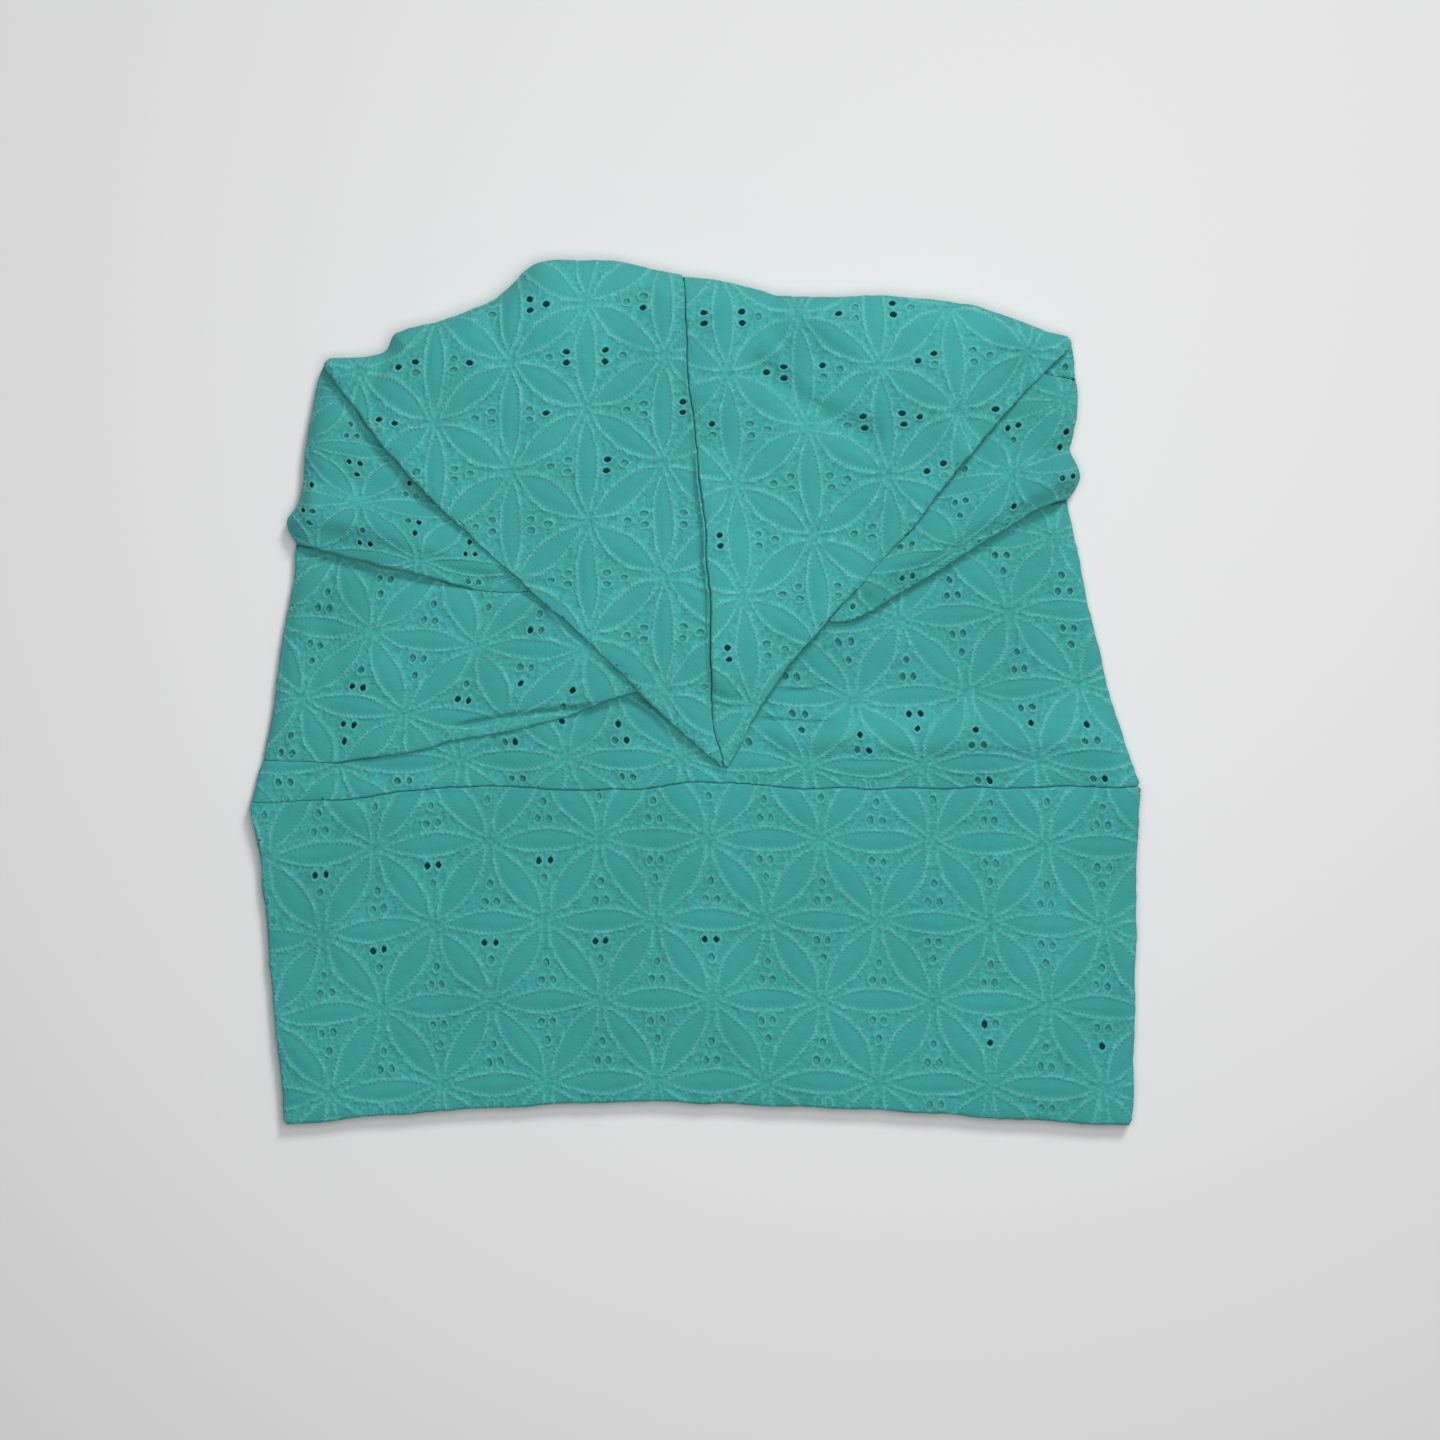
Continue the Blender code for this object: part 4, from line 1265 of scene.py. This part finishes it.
class TurbanPiece(bpy.types.Operator):
    """Shared by the operators that make the cap's pieces."""

    bl_options = {"REGISTER", "UNDO"}

    def front_piece(self, context, node, outline, cell, chart, top, finish, slot, facts):
        cutter = Cutter(context.scene)
        shape = bmesh.new()
        cutter.show_side(shape, outline, cell, chart, top)
        piece = sewn_piece(node + "_cloth", shape, chart, finish)
        hand_over(piece, node)
        sheet_of(piece, outline, 1, **facts)
        return piece


class MakeBand(TurbanPiece):
    """Makes the doubled band's front, with its pockets and rolled edges."""

    bl_idname = "turban.make_band"
    bl_label = "Band Front"

    def execute(self, context):
        cutter = Cutter(context.scene)
        cap = cutter.cap
        chart = Chart(BAND_CROSSINGS, degree=2)

        def top(points):
            return cap.band_top(points) + creases(BAND_CREASES, points) + ripple(points) * 0.6

        shape = bmesh.new()
        cutter.show_side(shape, cap.band, BAND_CELL, chart, top)
        _, dark = cutter.lining(shape, cap.band, top, hidden=[(chart, BAND_DARK)])
        # Painted shade: the band's jersey is made darker, most of all in red.
        finish = jersey("Band Jersey", (0.92, 0.99, 0.99), context.scene.turban_colours)
        piece = sewn_piece("band_front_cloth", shape, chart, finish, dark)
        hand_over(piece, "band_front")
        sheet_of(piece, cap.band, 2, "folded", ["band_back"])
        return {"FINISHED"}


class MakeCrownFront(TurbanPiece):
    """Makes the stretches of the crown that show beside and below the flap."""

    bl_idname = "turban.make_crown_front"
    bl_label = "Crown Front"

    def execute(self, context):
        cap = Cap()
        # Painted light and shade: the crown's jersey is made a little darker in red and lighter in
        # green and blue.
        finish = jersey("Crown Jersey", (0.98, 1.03, 1.03), context.scene.turban_colours)
        facts = {"held": "laid", "rests_on": ["folded_layers"]}
        for node, outline, crossings, height, rows in cap.crown_stretches():
            def top(points, height=height, rows=rows):
                return cap.finished(height, rows, points)

            self.front_piece(
                context, node, outline, CROWN_CELL, Chart(crossings), top, finish,
                "jersey_crown", facts,
            )
        return {"FINISHED"}


class MakeFlap(TurbanPiece):
    """Makes both halves of the folded-down flap, each doubled at the V edge."""

    bl_idname = "turban.make_flap"
    bl_label = "Flap"

    def execute(self, context):
        cutter = Cutter(context.scene)
        cap = cutter.cap
        # Painted light: the flap's jersey is made lighter than the rest.
        finish = jersey("Flap Jersey", (1.06, 1.09, 1.09), context.scene.turban_colours)
        for node, outline, crossings, degree in (
            ("flap_left", cap.flap_left, FLAP_LEFT_CROSSINGS, 1),
            ("flap_right", cap.flap_right, FLAP_RIGHT_CROSSINGS, 1),
        ):
            chart = Chart(crossings, degree)

            def top(points):
                return cap.finished(cap.flap_top, FLAP_CREASES, points)

            shape = bmesh.new()
            cutter.show_side(shape, outline, FLAP_CELL, chart, top)
            _, dark = cutter.lining(shape, outline, top, hidden=[(chart, FLAP_DARK)])
            piece = sewn_piece(node + "_cloth", shape, chart, finish, dark)
            hand_over(piece, node)
            sheet_of(piece, outline, 2, "folded", ["folded_layers"])
        return {"FINISHED"}


class MakeHiddenLayers(TurbanPiece):
    """Makes the folded layers that show only through the eyelets."""

    bl_idname = "turban.make_hidden_layers"
    bl_label = "Hidden Layers"

    def execute(self, context):
        cutter = Cutter(context.scene)
        cap = cutter.cap
        covers = [
            (outline, height, rows, LAYER_DROP)
            for _, outline, _, height, rows in cap.crown_stretches()
        ]
        covers.append((cap.flap_left, cap.flap_top, FLAP_CREASES, DOUBLED_CLOTH))
        covers.append((cap.flap_right, cap.flap_top, FLAP_CREASES, DOUBLED_CLOTH))
        turns = np.linspace(0.0, 2.0 * math.pi, 8, endpoint=False)
        around = [(0.0, 0.0)] + [(1.5 * math.cos(a), 1.5 * math.sin(a)) for a in turns]

        def ceiling(points):
            lowest = np.full(len(points), FLAP_LEVEL[2])
            for shift in around:
                sample = points + shift
                for outline, height, rows, thickness in covers:
                    top = cap.finished(height, rows, sample)
                    under = np.maximum(top - thickness, LOWEST_FRONT)
                    lowest = np.minimum(lowest, np.where(inside(outline, sample), under, np.inf))
            return lowest

        chart = Chart(FRONT_CROSSINGS)
        hidden = [(Chart(crossings), places) for crossings, places in CROWN_DARK]
        shape = bmesh.new()
        within = inset(cap.crown, HIDDEN_INSET)
        corners, dark = cutter.lining(shape, within, ceiling, drop=0.05, hidden=hidden)
        for corner in corners:
            corner.co.z = max(corner.co.z, LOWEST_FRONT)
        # Painted shade: the folded layers inside are made darker.
        finish = jersey("Inner Jersey", (0.8, 0.8, 0.8), context.scene.turban_colours)
        piece = sewn_piece("folded_layers_cloth", shape, chart, finish, dark)
        hand_over(piece, "folded_layers")
        sheet_of(piece, within, 1, "folded", ["crown_back"])
        return {"FINISHED"}


class MakeBacks(TurbanPiece):
    """Makes the half of the cap that lies on the table."""

    bl_idname = "turban.make_backs"
    bl_label = "Backs"

    def execute(self, context):
        cutter = Cutter(context.scene)
        cap = cutter.cap
        # Painted shade: the backs that lie on the table are made a little darker.
        finish = jersey("Back Jersey", (0.94, 0.95, 0.95), context.scene.turban_colours)
        for node, outline, crossings, degree, layers in (
            ("band_back", cap.band, BAND_CROSSINGS, 2, 2),
            ("crown_back", cap.crown, FRONT_CROSSINGS, 1, 1),
        ):
            chart = Chart(crossings, degree)
            shape = bmesh.new()
            cutter.show_side(shape, outline, BACK_CELL, chart, lambda points: np.zeros(len(points)))
            highest = max(corner.co.z for corner in shape.verts)
            for corner in shape.verts:
                corner.co.z = highest - corner.co.z
            bmesh.ops.reverse_faces(shape, faces=shape.faces[:])
            if layers > 1:
                thickness = DOUBLED_CLOTH
                cutter.lining(shape, outline, lambda points: np.full(len(points), thickness),
                              cell=4.0, drop=0.0)
            piece = sewn_piece(node + "_cloth", shape, chart, finish)
            hand_over(piece, node)
            sheet_of(piece, outline, layers, "laid", [])
        return {"FINISHED"}


class MakeStage(bpy.types.Operator):
    """Makes the pale surface, the soft light and the camera above the cap."""

    bl_idname = "turban.make_stage"
    bl_label = "Stage"
    bl_options = {"REGISTER", "UNDO"}

    def execute(self, context):
        scene = context.scene
        shape = bmesh.new()
        bmesh.ops.create_grid(shape, x_segments=8, y_segments=8, size=3.0)
        mesh = bpy.data.meshes.new("floor")
        shape.to_mesh(mesh)
        shape.free()
        paint = Paint("Floor")
        paint.surface.inputs["Base Color"].default_value = (*scene.turban_colours.floor, 1.0)
        paint.surface.inputs["Roughness"].default_value = 0.9
        paint.surface.inputs["Specular IOR Level"].default_value = 0.1
        mesh.materials.append(paint.material)
        floor = bpy.data.objects.new("floor", mesh)
        scene.collection.objects.link(floor)

        self.light(scene, "key", (0.6, 1.25, 1.2), 0.45, 17.0)
        self.light(scene, "overhead", (0.04, 0.0, 0.56), 0.45, 1.8)
        world = bpy.data.worlds.new("studio")
        world.use_nodes = True
        world.node_tree.nodes["Background"].inputs["Color"].default_value = (1.0, 1.0, 1.0, 1.0)
        world.node_tree.nodes["Background"].inputs["Strength"].default_value = 0.17
        scene.world = world
        scene.view_settings.view_transform = "Standard"

        middle = from_photo([(PHOTO_SIZE / 2, PHOTO_SIZE / 2)])[0] * MM
        distance = 1.1
        data = bpy.data.cameras.new("camera")
        data.sensor_fit = "HORIZONTAL"
        data.angle = 2.0 * math.atan(PHOTO_SIZE * MM_PER_PIXEL * MM / 2.0 / distance)
        camera = bpy.data.objects.new("camera", data)
        camera.location = (middle[0], middle[1], distance + 0.004)
        scene.collection.objects.link(camera)
        scene.camera = camera
        return {"FINISHED"}

    def light(self, scene, name, place, size, power):
        data = bpy.data.lights.new(name, "AREA")
        data.shape = "SQUARE"
        data.size = size
        data.energy = power
        lamp = bpy.data.objects.new(name, data)
        lamp.location = place
        lamp.rotation_euler = (-Vector(place)).to_track_quat("-Z", "Y").to_euler()
        scene.collection.objects.link(lamp)


class TurbanPanel(bpy.types.Panel):
    """Lists the steps that make the cap."""

    bl_idname = "VIEW3D_PT_turban_cap"
    bl_label = "Turban Cap"
    bl_space_type = "VIEW_3D"
    bl_region_type = "UI"
    bl_category = "Turban Cap"

    def draw(self, context):
        for settings in (context.scene.turban_cloth, context.scene.turban_colours):
            for key in settings.__annotations__:
                self.layout.prop(settings, key)
        for step in STEPS:
            self.layout.operator(step.bl_idname)


STEPS = (MakeBand, MakeCrownFront, MakeFlap, MakeHiddenLayers, MakeBacks, MakeStage)
CLASSES = (ClothSettings, ColourSettings) + STEPS + (TurbanPanel,)


def register():
    for item in CLASSES:
        bpy.utils.register_class(item)
    bpy.types.Scene.turban_cloth = PointerProperty(type=ClothSettings)
    bpy.types.Scene.turban_colours = PointerProperty(type=ColourSettings)


def unregister():
    del bpy.types.Scene.turban_colours
    del bpy.types.Scene.turban_cloth
    for item in reversed(CLASSES):
        bpy.utils.unregister_class(item)


def main():
    register()
    bpy.ops.turban.make_band()
    bpy.ops.turban.make_crown_front()
    bpy.ops.turban.make_flap()
    bpy.ops.turban.make_hidden_layers()
    bpy.ops.turban.make_backs()
    bpy.ops.turban.make_stage()


if __name__ == "__main__":
    main()
